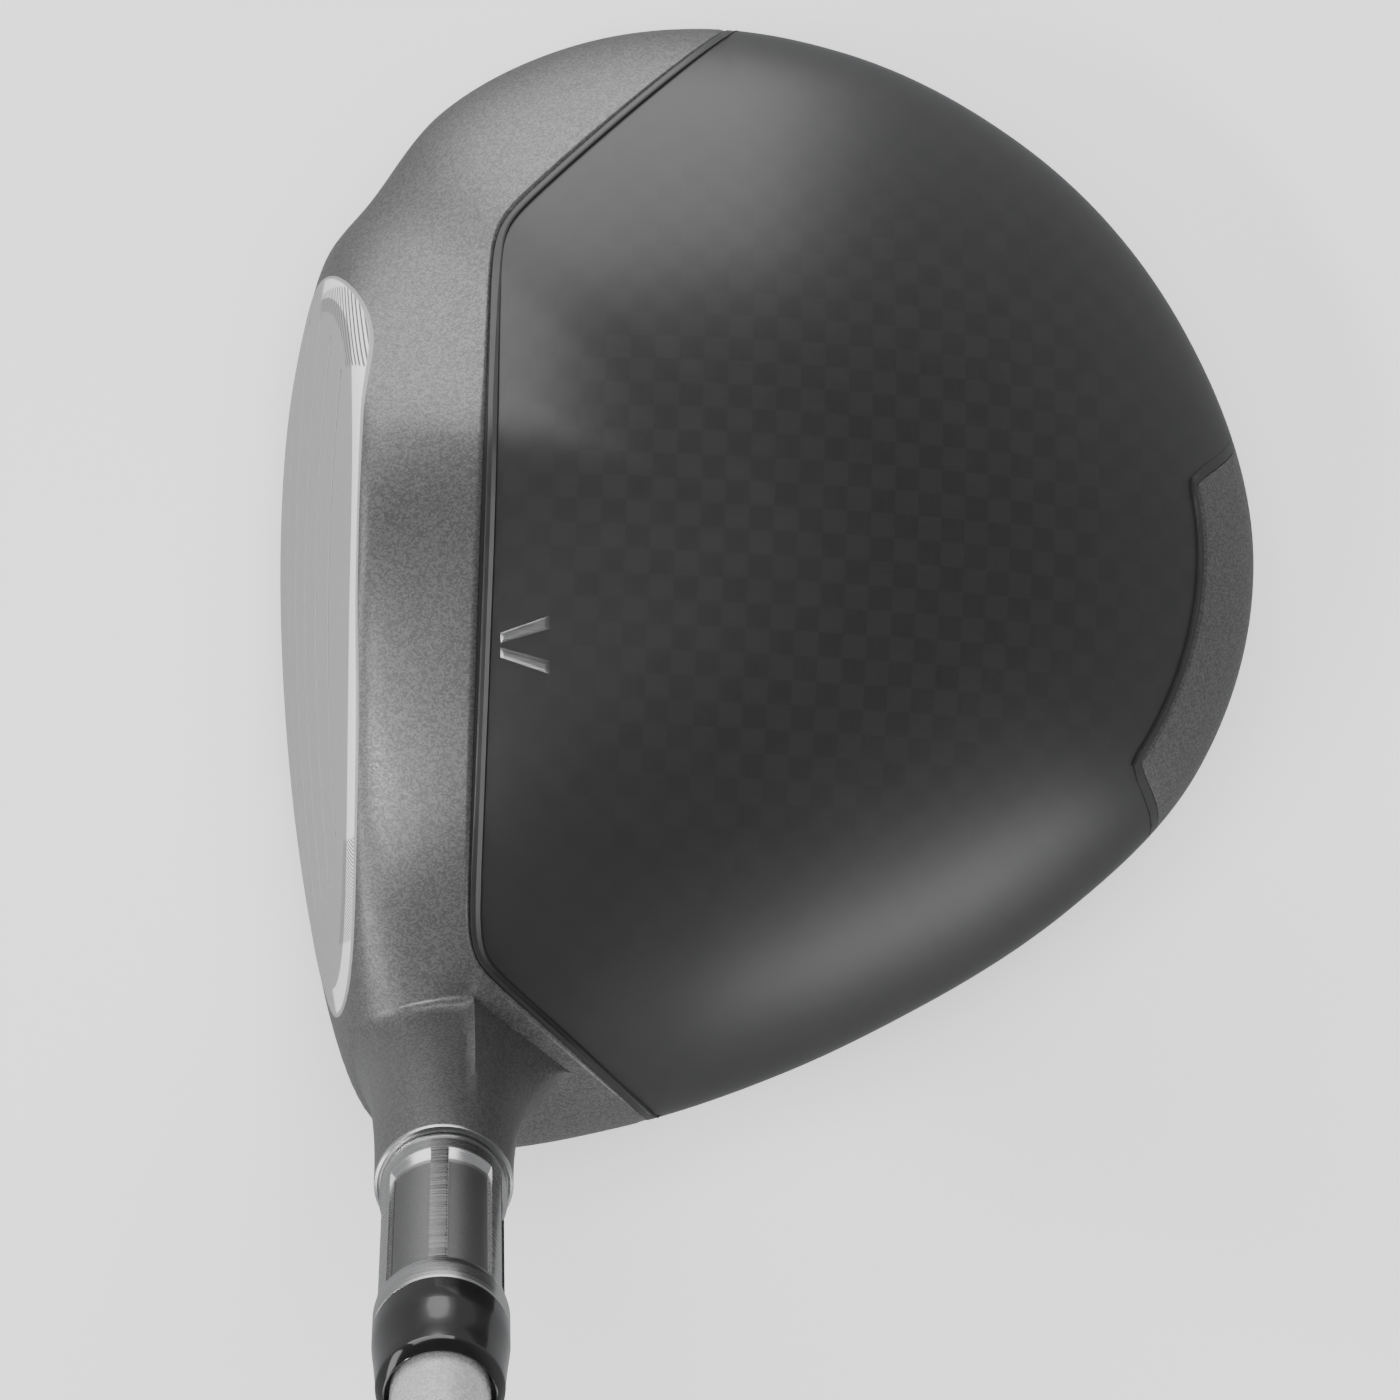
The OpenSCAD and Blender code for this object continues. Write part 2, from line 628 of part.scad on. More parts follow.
ferrule_r = ring_r;
ferrule_end_r = 6.15;
module ferrule() {
    first = sleeve_l - pivot_s;
    top = first + ferrule_l;
    color("#101010") difference() {
        on_shaft() rotate_extrude() polygon([[tip_d / 2 + 0.05, first - 1], [ferrule_r, first - 1],
            [ferrule_r, first + 1], [ferrule_end_r + 0.15, top - 1.1], [ferrule_end_r - 0.6, top],
            [shaft_d / 2 + 0.45, top], [shaft_d / 2 + 0.45, top - 1.6], [tip_d / 2 + 0.05, top - 1.6]]);
        on_hosel() translate([0, 0, sleeve_l - 10]) cylinder(h = 10.02, r = 20);
    }
}

// Along the shaft, from the pivot
ground_to_pivot = rim_z / sin(lie) + pivot_s;
butt = club_length - ground_to_pivot;
cap_t = 4;
shaft_top = butt - cap_t;
paint_from = sleeve_l - pivot_s + ferrule_l - 1.5;
tip_straight = 90;
function shaft_radius(q) = shaft_d / 2
    + (butt_d - shaft_d) / 2 * max(0, (q - tip_straight) / (shaft_top - tip_straight));
module shaft() {
    color("#d8d8d8") on_shaft() rotate_extrude() polygon([
        [tip_d / 2, shaft_foot + 0.1], [tip_d / 2, paint_from], [shaft_d / 2, paint_from],
        [shaft_d / 2, tip_straight], [butt_d / 2, shaft_top],
        [butt_d / 2 - shaft_wall, shaft_top], [shaft_d / 2 - shaft_wall - 0.2, tip_straight],
        [tip_d / 2 - shaft_wall, shaft_foot + 0.1]]);
}

module tip_plug() {
    color("#6a5a40") on_shaft() translate([0, 0, shaft_foot + 0.3])
        cylinder(h = 8, r = tip_d / 2 - shaft_wall - 0.05);
}

tape_t = 0.2;
grip_from = butt - grip_l;
module grip_tape() {
    a = grip_from + 10;
    b = shaft_top - 3;
    color("#c8b890") on_shaft() rotate_extrude() polygon([
        [shaft_radius(a) + 0.01, a], [shaft_radius(b) + 0.01, b],
        [shaft_radius(b) + tape_t, b], [shaft_radius(a) + tape_t, a]]);
}

vent_r = 1.6;
module grip() {
    gap = tape_t + 0.03;
    round = 3;
    color("#222222") on_shaft() rotate_extrude() polygon(concat(
        [[shaft_radius(grip_from) + gap, grip_from], [grip_mouth_d / 2 - 0.6, grip_from],
            [grip_mouth_d / 2, grip_from + 0.8], [grip_mouth_d / 2, grip_from + 8],
            [grip_cap_d / 2 - 0.9, butt - 14], [grip_cap_d / 2, butt - 7]],
        [for (a = [0 : 15 : 90]) [grip_cap_d / 2 - round + round * cos(a), butt - round + round * sin(a)]],
        [[vent_r, butt], [vent_r, shaft_top + 0.02], [butt_d / 2 + gap, shaft_top + 0.02]]));
}

titanium_body();
crown_panel();
crown_bond();
sole_panel();
sole_bond();
face_plate();
face_cover();
rear_housing();
rear_weight();
rear_weight_screw();
sole_slot_insert();
sole_badge();
alignment_mark();
loft_sleeve();
sleeve_o_ring();
hosel_screw();
hosel_screw_washer();
ferrule();
shaft();
tip_plug();
grip_tape();
grip();
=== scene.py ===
import math

import bpy
import numpy as np
from mathutils import Matrix, Vector


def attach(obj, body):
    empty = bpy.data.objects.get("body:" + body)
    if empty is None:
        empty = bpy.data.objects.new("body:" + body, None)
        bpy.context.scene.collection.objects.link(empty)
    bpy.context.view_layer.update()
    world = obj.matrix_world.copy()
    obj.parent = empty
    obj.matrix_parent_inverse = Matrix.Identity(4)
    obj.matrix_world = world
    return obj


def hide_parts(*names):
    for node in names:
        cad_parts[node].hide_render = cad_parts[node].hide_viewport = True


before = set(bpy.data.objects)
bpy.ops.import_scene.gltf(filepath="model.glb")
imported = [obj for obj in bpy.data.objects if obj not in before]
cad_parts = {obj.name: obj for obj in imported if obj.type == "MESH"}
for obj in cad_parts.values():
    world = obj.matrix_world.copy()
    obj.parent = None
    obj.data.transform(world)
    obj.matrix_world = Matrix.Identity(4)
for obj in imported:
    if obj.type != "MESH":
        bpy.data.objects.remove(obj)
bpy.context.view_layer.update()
bpy.ops.object.select_all(action="DESELECT")
print("frame loaded:", len(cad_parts), "nodes")

mm = 0.001  # shapes are drawn in millimetres and placed in metres


class Wire:  # one shader output, so that maths on it reads as plain sums
    def __init__(self, finish, out):
        self.finish, self.out = finish, out

    def maths(self, operation, left, right=None):
        inputs = {0: left}
        if right is not None:
            inputs[1] = right
        return self.finish.node("Math", {"operation": operation}, inputs)

    def __add__(self, other):
        return self.maths("ADD", self, other)

    __radd__ = __add__

    def __sub__(self, other):
        return self.maths("SUBTRACT", self, other)

    def __rsub__(self, other):
        return self.maths("SUBTRACT", other, self)

    def __mul__(self, other):
        return self.maths("MULTIPLY", self, other)

    __rmul__ = __mul__

    def __truediv__(self, other):
        return self.maths("DIVIDE", self, other)

    def __pow__(self, other):
        return self.maths("POWER", self, other)

    def __mod__(self, other):
        return self.maths("FLOORED_MODULO", self, other)

    def __abs__(self):
        return self.maths("ABSOLUTE", self)

    def __lt__(self, other):
        return self.maths("LESS_THAN", self, other)

    def __gt__(self, other):
        return self.maths("GREATER_THAN", self, other)

    def ramp(self, low, high, start=0.0, end=1.0):  # smooth step between two values
        return self.finish.node("MapRange", {"interpolation_type": "SMOOTHSTEP"},
            {"Value": self, "From Min": low, "From Max": high, "To Min": start, "To Max": end})


class Finish:  # a material and its main shader
    def __init__(self, name):
        self.material = bpy.data.materials.new(name)
        self.material.use_nodes = True
        self.tree = self.material.node_tree
        self.shader = self.tree.nodes["Principled BSDF"]

    def node(self, kind, settings=None, inputs=None, out=0):
        made = self.tree.nodes.new("ShaderNode" + kind)
        for key, value in (settings or {}).items():
            if key == "stops":
                for stop, (place, colour) in zip(made.color_ramp.elements, value):
                    stop.position, stop.color = place, colour
            else:
                setattr(made, key, value)
        for key, value in (inputs or {}).items():
            self.plug(made.inputs[key], value)
        return Wire(self, made.outputs[out])

    def plug(self, socket, value):
        if isinstance(value, Wire):
            self.tree.links.new(value.out, socket)
        else:
            socket.default_value = value

    def place(self, matrix=None):  # object coordinates, turned into a piece's own frame
        spot = self.node("TexCoord", None, None, "Object")
        if matrix is not None:
            back = matrix.inverted()
            spot = self.node("Mapping", {"vector_type": "POINT"},
                {"Vector": spot, "Location": back.to_translation(), "Rotation": back.to_euler()})
        return spot

    def axes(self, spot):
        split = self.node("SeparateXYZ", None, {0: spot})
        return [Wire(self, split.out.node.outputs[i]) for i in range(3)]

    def noise(self, spot, scale, detail=3.0, rough=0.5):
        return self.node("TexNoise", None,
            {"Vector": spot, "Scale": scale, "Detail": detail, "Roughness": rough})

    def blend(self, share, first, second):  # mixes two colours
        made = self.node("Mix", {"data_type": "RGBA"}, {"Factor": share})
        inputs = [s for s in made.out.node.inputs if s.type == "RGBA"]
        self.plug(inputs[0], first)
        self.plug(inputs[1], second)
        return Wire(self, [s for s in made.out.node.outputs if s.type == "RGBA"][0])

    def bump(self, height, strength, distance):
        return self.node("Bump", None, {"Height": height, "Strength": strength, "Distance": distance})

    def surface(self, **sockets):
        for key, value in sockets.items():
            name = "".join(" " + c if c.isupper() else c for c in key).title()
            self.plug(self.shader.inputs[name.replace("I O R", "IOR")], value)
        return self.material


def grey(level, warm=0.0):
    return (level * (1 + warm), level, level * (1 - warm), 1)


def selectOnly(piece):
    bpy.ops.object.select_all(action="DESELECT")
    piece.select_set(True)
    bpy.context.view_layer.objects.active = piece


def cornersOf(piece):
    places = np.empty(len(piece.data.vertices) * 3)
    piece.data.vertices.foreach_get("co", places)
    return places.reshape(-1, 3)


def putCorners(piece, places):
    piece.data.vertices.foreach_set("co", np.ascontiguousarray(places, float).ravel())
    piece.data.update()


def mergeCorners(piece, gap=1e-7):
    selectOnly(piece)
    bpy.ops.object.mode_set(mode="EDIT")
    bpy.ops.mesh.select_all(action="SELECT")
    bpy.ops.mesh.remove_doubles(threshold=gap)
    bpy.ops.mesh.dissolve_degenerate(threshold=gap)
    bpy.ops.object.mode_set(mode="OBJECT")


def faceOutwards(piece, centre=None):
    # closed shells are recalculated; open skins are turned away from a centre
    selectOnly(piece)
    bpy.ops.object.mode_set(mode="EDIT")
    bpy.ops.mesh.select_all(action="SELECT")
    bpy.ops.mesh.normals_make_consistent(inside=False)
    bpy.ops.object.mode_set(mode="OBJECT")
    if centre is not None:
        away = sum((f.center - Vector(centre)).normalized().dot(f.normal) * f.area
            for f in piece.data.polygons)
        if away < 0:
            bpy.ops.object.mode_set(mode="EDIT")
            bpy.ops.mesh.flip_normals()
            bpy.ops.object.mode_set(mode="OBJECT")


def applyModifier(piece, kind, **settings):
    selectOnly(piece)
    modifier = piece.modifiers.new(kind.title(), kind)
    for key, value in settings.items():
        setattr(modifier, key, value)
    bpy.ops.object.modifier_apply(modifier=modifier.name)


def cutBy(piece, cutter):
    applyModifier(piece, "BOOLEAN", operation="DIFFERENCE", solver="EXACT", object=cutter)
    bpy.data.objects.remove(cutter)


def smooth(piece, angle=30):
    selectOnly(piece)
    bpy.ops.object.shade_smooth_by_angle(angle=math.radians(angle))


def skinGrid(name, columns, rows, shape):
    # a grid laid over a moulded skin: shape takes its shares across and along
    bpy.ops.object.select_all(action="DESELECT")
    bpy.ops.mesh.primitive_grid_add(x_subdivisions=columns, y_subdivisions=rows, size=1)
    piece = bpy.context.object
    piece.name = piece.data.name = name
    flat = cornersOf(piece) + 0.5
    putCorners(piece, shape(flat[:, 0], flat[:, 1]) * mm)
    return piece


def softened(points, size, steps=3):
    # a turned outline whose inner corners are rounded
    out = [points[0]]
    for before, corner, after in zip(points, points[1:], points[2:]):
        a, b, c = (np.array(p, float) for p in (before, corner, after))
        r = min(size, 0.45 * np.linalg.norm(a - b), 0.45 * np.linalg.norm(c - b))
        first = b + (a - b) / np.linalg.norm(a - b) * r
        last = b + (c - b) / np.linalg.norm(c - b) * r
        for i in range(steps + 1):
            t = i / steps
            out.append(tuple((1 - t) ** 2 * first + 2 * t * (1 - t) * b + t * t * last))
    return out + [points[-1]]


def turned(name, outline, placed, sides=96, reshape=None):
    # outline is (radius, height) along the piece, drawn out ring by ring
    bpy.ops.object.select_all(action="DESELECT")
    least = 0.001
    radius, height = max(least, outline[0][0]), outline[0][1]
    bpy.ops.mesh.primitive_circle_add(vertices=sides, radius=radius, location=(0, 0, height))
    piece = bpy.context.object
    piece.name = piece.data.name = name
    bpy.ops.object.transform_apply(location=True, rotation=True, scale=True)
    bpy.ops.object.mode_set(mode="EDIT")
    bpy.ops.mesh.select_all(action="SELECT")
    for nextRadius, nextHeight in outline[1:]:
        nextRadius = max(least, nextRadius)
        bpy.ops.mesh.extrude_region_move(
            TRANSFORM_OT_translate={"value": (0, 0, nextHeight - height)})
        grow = nextRadius / radius
        if abs(grow - 1) > 1e-9:
            bpy.ops.transform.resize(value=(grow, grow, 1))
        radius, height = nextRadius, nextHeight
    bpy.ops.object.mode_set(mode="OBJECT")
    mergeCorners(piece, least * 2.5)
    faceOutwards(piece)
    if reshape:
        putCorners(piece, reshape(cornersOf(piece)))
    piece.data.transform(Matrix.Scale(mm, 4))
    piece.data.transform(placed)
    smooth(piece)
    return piece


def finishPiece(piece, body, node, slot, *materials):
    for material in materials:
        piece.data.materials.append(material)
    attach(piece, body)
    if node:
        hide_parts(node)


headShape = {
    "outline": [[0, 55.6], [30, 55.3], [60, 57.5], [82, 60.8], [98, 63.6], [112, 65.2],
        [126, 65.4], [140, 63.2], [152, 68], [165, 83], [180, 94], [200, 94], [220, 92],
        [238, 79], [254, 67], [270, 58.5], [288, 53.3], [310, 52], [334, 54.2]],
    "rimHeight": 29, "crownHeight": 31.5, "soleHeight": 28.6, "crownMix": 0.6, "soleMix": 0.5,
    "frontLift": 0.12, "faceX": -54.7, "faceY": -2, "faceTwist": 0.0012, "loft": 11.6,
    "bulge": 305, "roll": 305, "edgeSharp": 60, "edgeToe": 28, "edgeHeel": 44,
}
middle = np.array([0, 0, headShape["rimHeight"]], float)


def ease(t):
    t = np.clip(t, 0, 1)
    return t * t * (3 - 2 * t)


def reach(angle):  # radius of the head's outline from above
    knots = np.array(headShape["outline"], float)
    around = np.concatenate([knots - [360, 0], knots, knots + [360, 0]])
    slope = np.gradient(around[:, 1])
    slope[1:-1] = (around[2:, 1] - around[:-2, 1]) / (around[2:, 0] - around[:-2, 0])
    a = np.mod(angle, 360)
    i = np.searchsorted(around[:, 0], a, side="right") - 1
    h = around[i + 1, 0] - around[i, 0]
    t = (a - around[i, 0]) / h
    return ((2 * t**3 - 3 * t**2 + 1) * around[i, 1] + (t**3 - 2 * t**2 + t) * h * slope[i]
        + (3 * t**2 - 2 * t**3) * around[i + 1, 1] + (t**3 - t**2) * h * slope[i + 1])


def rawSkin(a, v):  # the head before its face is cut, about the middle
    s = headShape
    rho, rise = np.cos(np.radians(90 * v)), np.sin(np.radians(90 * np.abs(v)))
    x = reach(a) * rho * np.cos(np.radians(a))
    y = reach(a) * rho * np.sin(np.radians(a))
    up = (s["crownHeight"] * (s["crownMix"] * (1 - rho**2) + (1 - s["crownMix"]) * rise)
        - s["frontLift"] * x * (1 - rho**2))
    down = -s["soleHeight"] * (s["soleMix"] * (1 - rho**2) + (1 - s["soleMix"]) * rise)
    return np.stack([x, y, np.where(v >= 0, up, down)], -1)


def faceReach(d):
    s = headShape
    a = (d[..., 1]**2 / (2 * s["bulge"]) + d[..., 2]**2 / (2 * s["roll"])
        + s["faceTwist"] * d[..., 1] * d[..., 2])
    b = (d[..., 2] * math.tan(math.radians(s["loft"])) - d[..., 0]
        - d[..., 1] * s["faceY"] / s["bulge"] - s["faceTwist"] * s["faceY"] * d[..., 2])
    c = s["faceX"] + s["faceY"]**2 / (2 * s["bulge"])
    return -2 * c / (b + np.sqrt(b * b - 4 * a * c) + 1e-9)


def skin(a, v):  # v is 1 at the crown's middle, 0 at the widest line, -1 under the sole
    a, v = np.broadcast_arrays(np.asarray(a, float), np.asarray(v, float))
    p = rawSkin(a, v)
    t = np.linalg.norm(p, axis=-1)
    d = p / t[..., None]
    turn = np.mod(a, 360)
    sharp = (headShape["edgeSharp"] - headShape["edgeToe"] * ease((155 - turn) / 18)
        - headShape["edgeHeel"] * ease((turn - 202) / 30))
    n = np.maximum(16, sharp)
    f = faceReach(d)
    least = np.minimum(t, f)
    far = ((t / least)**-n + (f / least)**-n)**(-1 / n) * least
    return d * far[..., None] + middle


def outward(a, v):
    w = np.clip(v, -0.985, 0.985)
    n = np.cross(skin(a, w - 0.004) - skin(a, w + 0.004),
        skin(a + 0.4, w) - skin(a - 0.4, w))
    return n / np.linalg.norm(n, axis=-1)[..., None]


def under(a, v, depth):  # a point below the skin, on the way to the head's middle
    a, v, depth = np.broadcast_arrays(*(np.asarray(k, float) for k in (a, v, depth)))
    p = skin(a, v)
    d = (p - middle) / np.linalg.norm(p - middle, axis=-1)[..., None]
    lean = np.maximum(0.6, (outward(a, v) * d).sum(-1))
    return p - d * (depth / lean)[..., None]


def vAt(a, r, side):  # where the skin has a given radius from above
    low, high = np.zeros(a.shape), np.ones(a.shape)
    for _ in range(30):
        mid = (low + high) / 2
        far = np.linalg.norm(skin(a, side * mid)[..., :2], axis=-1) > r
        low, high = np.where(far, mid, low), np.where(far, high, mid)
    return side * low


seams = {
    "crown": [[178.1, 34.1], [134.4, 48.65], [228.8, 57.8]], "sole": [[180, 24], [128, 38], [232, 38]],
    "round": 36, "rim": -0.05, "soleSide": -0.34, "gap": 0.4, "vPerMm": 0.0102,
    "lip": 0.32, "bond": 0.19,
    "housing": [-37.5, 17.5], "ramp": 8, "housingTop": 0.33, "housingFoot": -0.62,
}


def seamReach(a, lines):
    total = sum((dist / np.maximum(0.02, np.cos(np.radians(a - turn))))**-seams["round"]
        for turn, dist in lines)
    return total**(-1 / seams["round"])


def housingShare(a):
    b = np.mod(np.asarray(a) + 180, 360) - 180
    return (ease((b - seams["housing"][0]) / seams["ramp"])
        * ease((seams["housing"][1] - b) / seams["ramp"]))


def crownEdge(a):
    return np.maximum(vAt(a, seamReach(a, seams["crown"]), 1),
        seams["rim"] + (seams["housingTop"] - seams["rim"]) * housingShare(a))


def soleEdge(a):
    return np.minimum(vAt(a, seamReach(a, seams["sole"]), -1),
        seams["soleSide"] + (seams["housingFoot"] - seams["soleSide"]) * housingShare(a))


def lipDepth(distance):  # how far a panel's edge rolls down, distance from the edge in mm
    r = seams["lip"]
    away = np.clip(r - distance, 0, r)
    return r - np.sqrt(np.maximum(0, r * r - away * away))


halfGap = seams["gap"] / 2 * seams["vPerMm"]
lip = seams["lip"] * (1 - np.cos(np.linspace(0, np.pi / 2, 6)))
besideLip = np.array([0.35, 0.42, 0.55, 0.9])  # close rows that keep the lip slim


def capPanel(name, edge, pole, wall, columns, rows):
    # a moulded panel from its seam to the middle, with a rolled lip
    sign = 1 if pole > 0 else -1
    angles = np.arange(columns + 1) * 360 / columns
    edges = edge(angles) + sign * halfGap
    span = abs(pole - edges) / seams["vPerMm"]
    even = np.linspace(0, 1, rows)[1:, None]**1.15
    near = np.concatenate([lip, besideLip])
    beside = np.repeat(near[:, None], len(span), 1)
    distance = np.concatenate([beside, near[-1] + (span - near[-1]) * even])

    def shape(u, w):
        i = np.rint(u * columns).astype(int)
        j = np.rint(w * (len(distance) - 1)).astype(int)
        v = edges[i] + sign * distance[j, i] * seams["vPerMm"]
        return under(np.where(v * sign > 0.9999, 0, angles[i]), v, lipDepth(distance[j, i]))

    piece = skinGrid(name, columns, len(distance) - 1, shape)
    mergeCorners(piece)
    faceOutwards(piece, (0, 0, 0.029))
    applyModifier(piece, "SOLIDIFY", thickness=wall * mm, offset=-1, use_even_offset=True)
    smooth(piece, 40)
    return piece


def bondRing(name, edge, columns=360):
    angles = np.arange(columns + 1) * 360 / columns
    edges = edge(angles)
    reachOut = seams["bond"] * seams["vPerMm"]
    corners = [(1, 0.34), (1, 1.1), (-1, 1.1), (-1, 0.34), (1, 0.34)]

    def shape(u, w):
        i = np.rint(u * columns).astype(int)
        j = np.rint(w * 4).astype(int)
        side = np.array([c[0] for c in corners])[j]
        depth = np.array([c[1] for c in corners])[j]
        return under(angles[i], edges[i] + side * reachOut, depth)

    piece = skinGrid(name, columns, 4, shape)
    mergeCorners(piece)
    faceOutwards(piece)
    smooth(piece, 40)
    return piece


def faceEdgeV(a, side):  # where the face meets the crown or the sole
    low, high = np.zeros(a.shape), np.full(a.shape, 0.95)
    for _ in range(30):
        mid = (low + high) / 2
        p = rawSkin(a, side * mid)
        t = np.linalg.norm(p, axis=-1)
        off = t < faceReach(p / t[..., None])
        low, high = np.where(off, low, mid), np.where(off, mid, high)
    return side * (low + high) / 2


hosel = {
    "lie": 60, "rim": (-37.8, -69.5, 65), "radius": 7.3, "bore": 5.95, "shelf": -36, "shelfThick": 3,
    "screwHole": 2.8, "access": 4.8, "foot": -76, "cant": 1.5, "pivot": 24,
    "neckAngle": 236, "neckV": 0.36, "neckTurn": -34, "neckPull": 16,
    "neckClear": 0.03,
}
hoselFrame = (Matrix.Translation(Vector(hosel["rim"]) * mm)
    @ Matrix.Rotation(math.radians(90 - hosel["lie"]), 4, "X"))
shaftFrame = (hoselFrame @ Matrix.Translation((0, 0, hosel["pivot"] * mm))
    @ Matrix.Rotation(math.radians(hosel["cant"]), 4, "X"))


def onHosel(radius, angle, height):
    lie, b = math.radians(hosel["lie"]), np.radians(angle)
    up = np.array([0, -math.cos(lie), math.sin(lie)])
    side = np.array([0, math.sin(lie), math.cos(lie)])
    return (np.array(hosel["rim"]) + np.asarray(height)[..., None] * up
        + (radius * np.cos(b))[..., None] * np.array([1, 0, 0])
        + (radius * np.sin(b))[..., None] * side)


def stripPanel(name, angles, top, foot, between):
    # a moulded strip from the crown seam down to the sole seam, all its edges rolled
    per, columns = seams["vPerMm"], len(angles) - 1
    between = np.concatenate([top - besideLip[:, None] * per, between, foot + besideLip[:, None] * per])
    inside = np.clip(between, foot + lip[-1] * per, top - lip[-1] * per)
    inside = np.sort(inside, axis=0)[::-1]
    rows = np.concatenate([top - lip[:, None] * per, inside, foot + lip[::-1, None] * per])
    depths = np.concatenate([lipDepth(lip), np.zeros(len(inside)), lipDepth(lip[::-1])])
    fromEnd = np.minimum(angles - angles[0], angles[-1] - angles)

    def shape(u, w):
        i = np.rint(u * columns).astype(int)
        j = np.rint(w * (len(rows) - 1)).astype(int)
        return under(angles[i], rows[j, i], np.maximum(depths[j], lipDepth(fromEnd[i])))

    return skinGrid(name, columns, len(rows) - 1, shape)


def endLines(first, last, step):  # angles with extra ones at both rolled ends
    near = np.array([0, 0.04, 0.1, 0.18, 0.3])
    return np.concatenate([first + near, np.arange(first + step, last - step, step), last - near[::-1]])


def bodyStrip():
    angles = endLines(seams["housing"][1] + 0.25, 360 + seams["housing"][0] - 0.25, 1)
    top, foot = crownEdge(angles) - halfGap, soleEdge(angles) + halfGap
    high = np.minimum(top - 0.05, np.maximum(faceEdgeV(angles, 1), top + (foot - top) / 3))
    low = np.maximum(foot + 0.05, np.minimum(faceEdgeV(angles, -1), top + (foot - top) * 2 / 3))
    steps = np.array([0.25, 0.5, 0.8, 1.1, 1.5, 2, 2.8, 4])  # closer rows round the face's edges
    near = np.concatenate([-steps[::-1], [0], steps])[:, None] * seams["vPerMm"]
    even = np.linspace(0, 1, 16)[1:-1, None]
    between = np.concatenate([top + (high - top) * even, high + near, high + (low - high) * even,
        low + near, low + (foot - low) * even])
    return stripPanel("bodyStrip", angles, top, foot, between)


def faceShare(y, z):  # 1 on the outline of the face insert, less inside it
    u, w = y - faceSizes["middle"][0], z - faceSizes["middle"][1]
    b = np.arctan2(w, u)
    return np.hypot(u, w) / faceRadius(b)


faceSizes = {
    "middle": (-6, 31.5), "toe": 39, "heel": 46, "up": 26.4, "down": 20, "lean": 2.2,
    "proud": 0.08, "thick": 0.6,
}


def faceRadius(b):
    c, s = np.cos(b), np.sin(b)
    f = faceSizes
    wide = np.where(c > 0, f["toe"], f["heel"])
    high = np.where(s > 0, f["up"], f["down"])
    return ((np.abs(c) / wide)**f["lean"] + (np.abs(s) / high)**f["lean"])**(-1 / f["lean"])


def faceDepth(y, z):  # x of the face behind the leading point
    s = headShape
    u, w = y - s["faceY"], z - s["rimHeight"]
    return (s["faceX"] + w * math.tan(math.radians(s["loft"])) + u**2 / (2 * s["bulge"])
        + w**2 / (2 * s["roll"]) + s["faceTwist"] * u * w)


def onFace(y, z, depth):  # a point under the skin, straight behind a place on the face
    spot = np.stack([faceDepth(y, z), y, z], -1) - middle
    a = np.degrees(np.arctan2(spot[..., 1], spot[..., 0]))
    rise = spot[..., 2] / np.hypot(spot[..., 0], spot[..., 1])
    low, high = np.full(a.shape, -0.97), np.full(a.shape, 0.97)
    for _ in range(40):
        mid = (low + high) / 2
        p = rawSkin(a, mid)
        over = p[..., 2] > rise * np.hypot(p[..., 0], p[..., 1])
        low, high = np.where(over, low, mid), np.where(over, mid, high)
    return under(a, (low + high) / 2, depth)


def openFace(piece):  # removes the skin behind the face insert
    selectOnly(piece)
    places = cornersOf(piece) / mm
    inside = (faceShare(places[:, 1], places[:, 2]) < 0.93) & (places[:, 0] < -35)
    bpy.ops.object.mode_set(mode="EDIT")
    bpy.ops.mesh.select_mode(type="VERT")
    bpy.ops.mesh.select_all(action="DESELECT")
    bpy.ops.object.mode_set(mode="OBJECT")
    piece.data.vertices.foreach_set("select", inside)
    bpy.ops.object.mode_set(mode="EDIT")
    bpy.ops.mesh.delete(type="VERT")
    bpy.ops.object.mode_set(mode="OBJECT")


def neckFlare():
    columns, rows = 96, 40
    h = hosel

    def shape(u, w):
        b = u * 360
        j = np.rint(w * (rows + 1)).astype(int)
        t = np.clip((j - 1) / rows, 0, 1)

        def base(share, depth):
            c, s = np.cos(np.radians(b)), np.sin(np.radians(b))
            angle = h["neckAngle"] + np.where(c > 0, 12, 8) * c * share
            v = h["neckV"] + np.where(s > 0, 0.11, 0.3) * s * share
            return under(angle, np.minimum(v, crownEdge(angle) - h["neckClear"]), depth)

        start = base(1, 0.02)
        lean = start + (base(0.97, 0.02) - start) / 0.03 * 0.27
        top = onHosel(h["radius"], b + h["neckTurn"], np.zeros(b.shape) - 0.55)
        pull = onHosel(h["radius"], b + h["neckTurn"], np.zeros(b.shape) - h["neckPull"])
        t = t[:, None]
        out = (1 - t)**3 * start + 3 * (1 - t)**2 * t * lean + 3 * (1 - t) * t**2 * pull + t**3 * top
        return np.where((j == 0)[:, None], base(1, 1.3), out)

    piece = skinGrid("neckFlare", columns, rows + 1, shape)
    mergeCorners(piece)
    return piece


def hoselTube():
    h = hosel
    outline = [(h["radius"], -0.56), (h["radius"], -0.5), (h["radius"] - 0.08, -0.2),
        (h["radius"] - 0.34, 0), (h["bore"] + 0.35, 0), (h["bore"] + 0.06, -0.12), (h["bore"], -0.4),
        (h["bore"], h["shelf"]), (h["screwHole"], h["shelf"]),
        (h["screwHole"], h["shelf"] - h["shelfThick"]), (h["access"], h["shelf"] - h["shelfThick"]),
        (h["access"], h["foot"])]
    return turned("hoselTube", outline, hoselFrame, 96)


def joined(name, pieces):
    selectOnly(pieces[0])
    for piece in pieces[1:]:
        piece.select_set(True)
    bpy.ops.object.join()
    pieces[0].name = pieces[0].data.name = name
    return pieces[0]


def rod(radius, low, high, placed, sides=48):
    return turned("cutter", [(0, low), (radius, low), (radius, high), (0, high)], placed, sides)


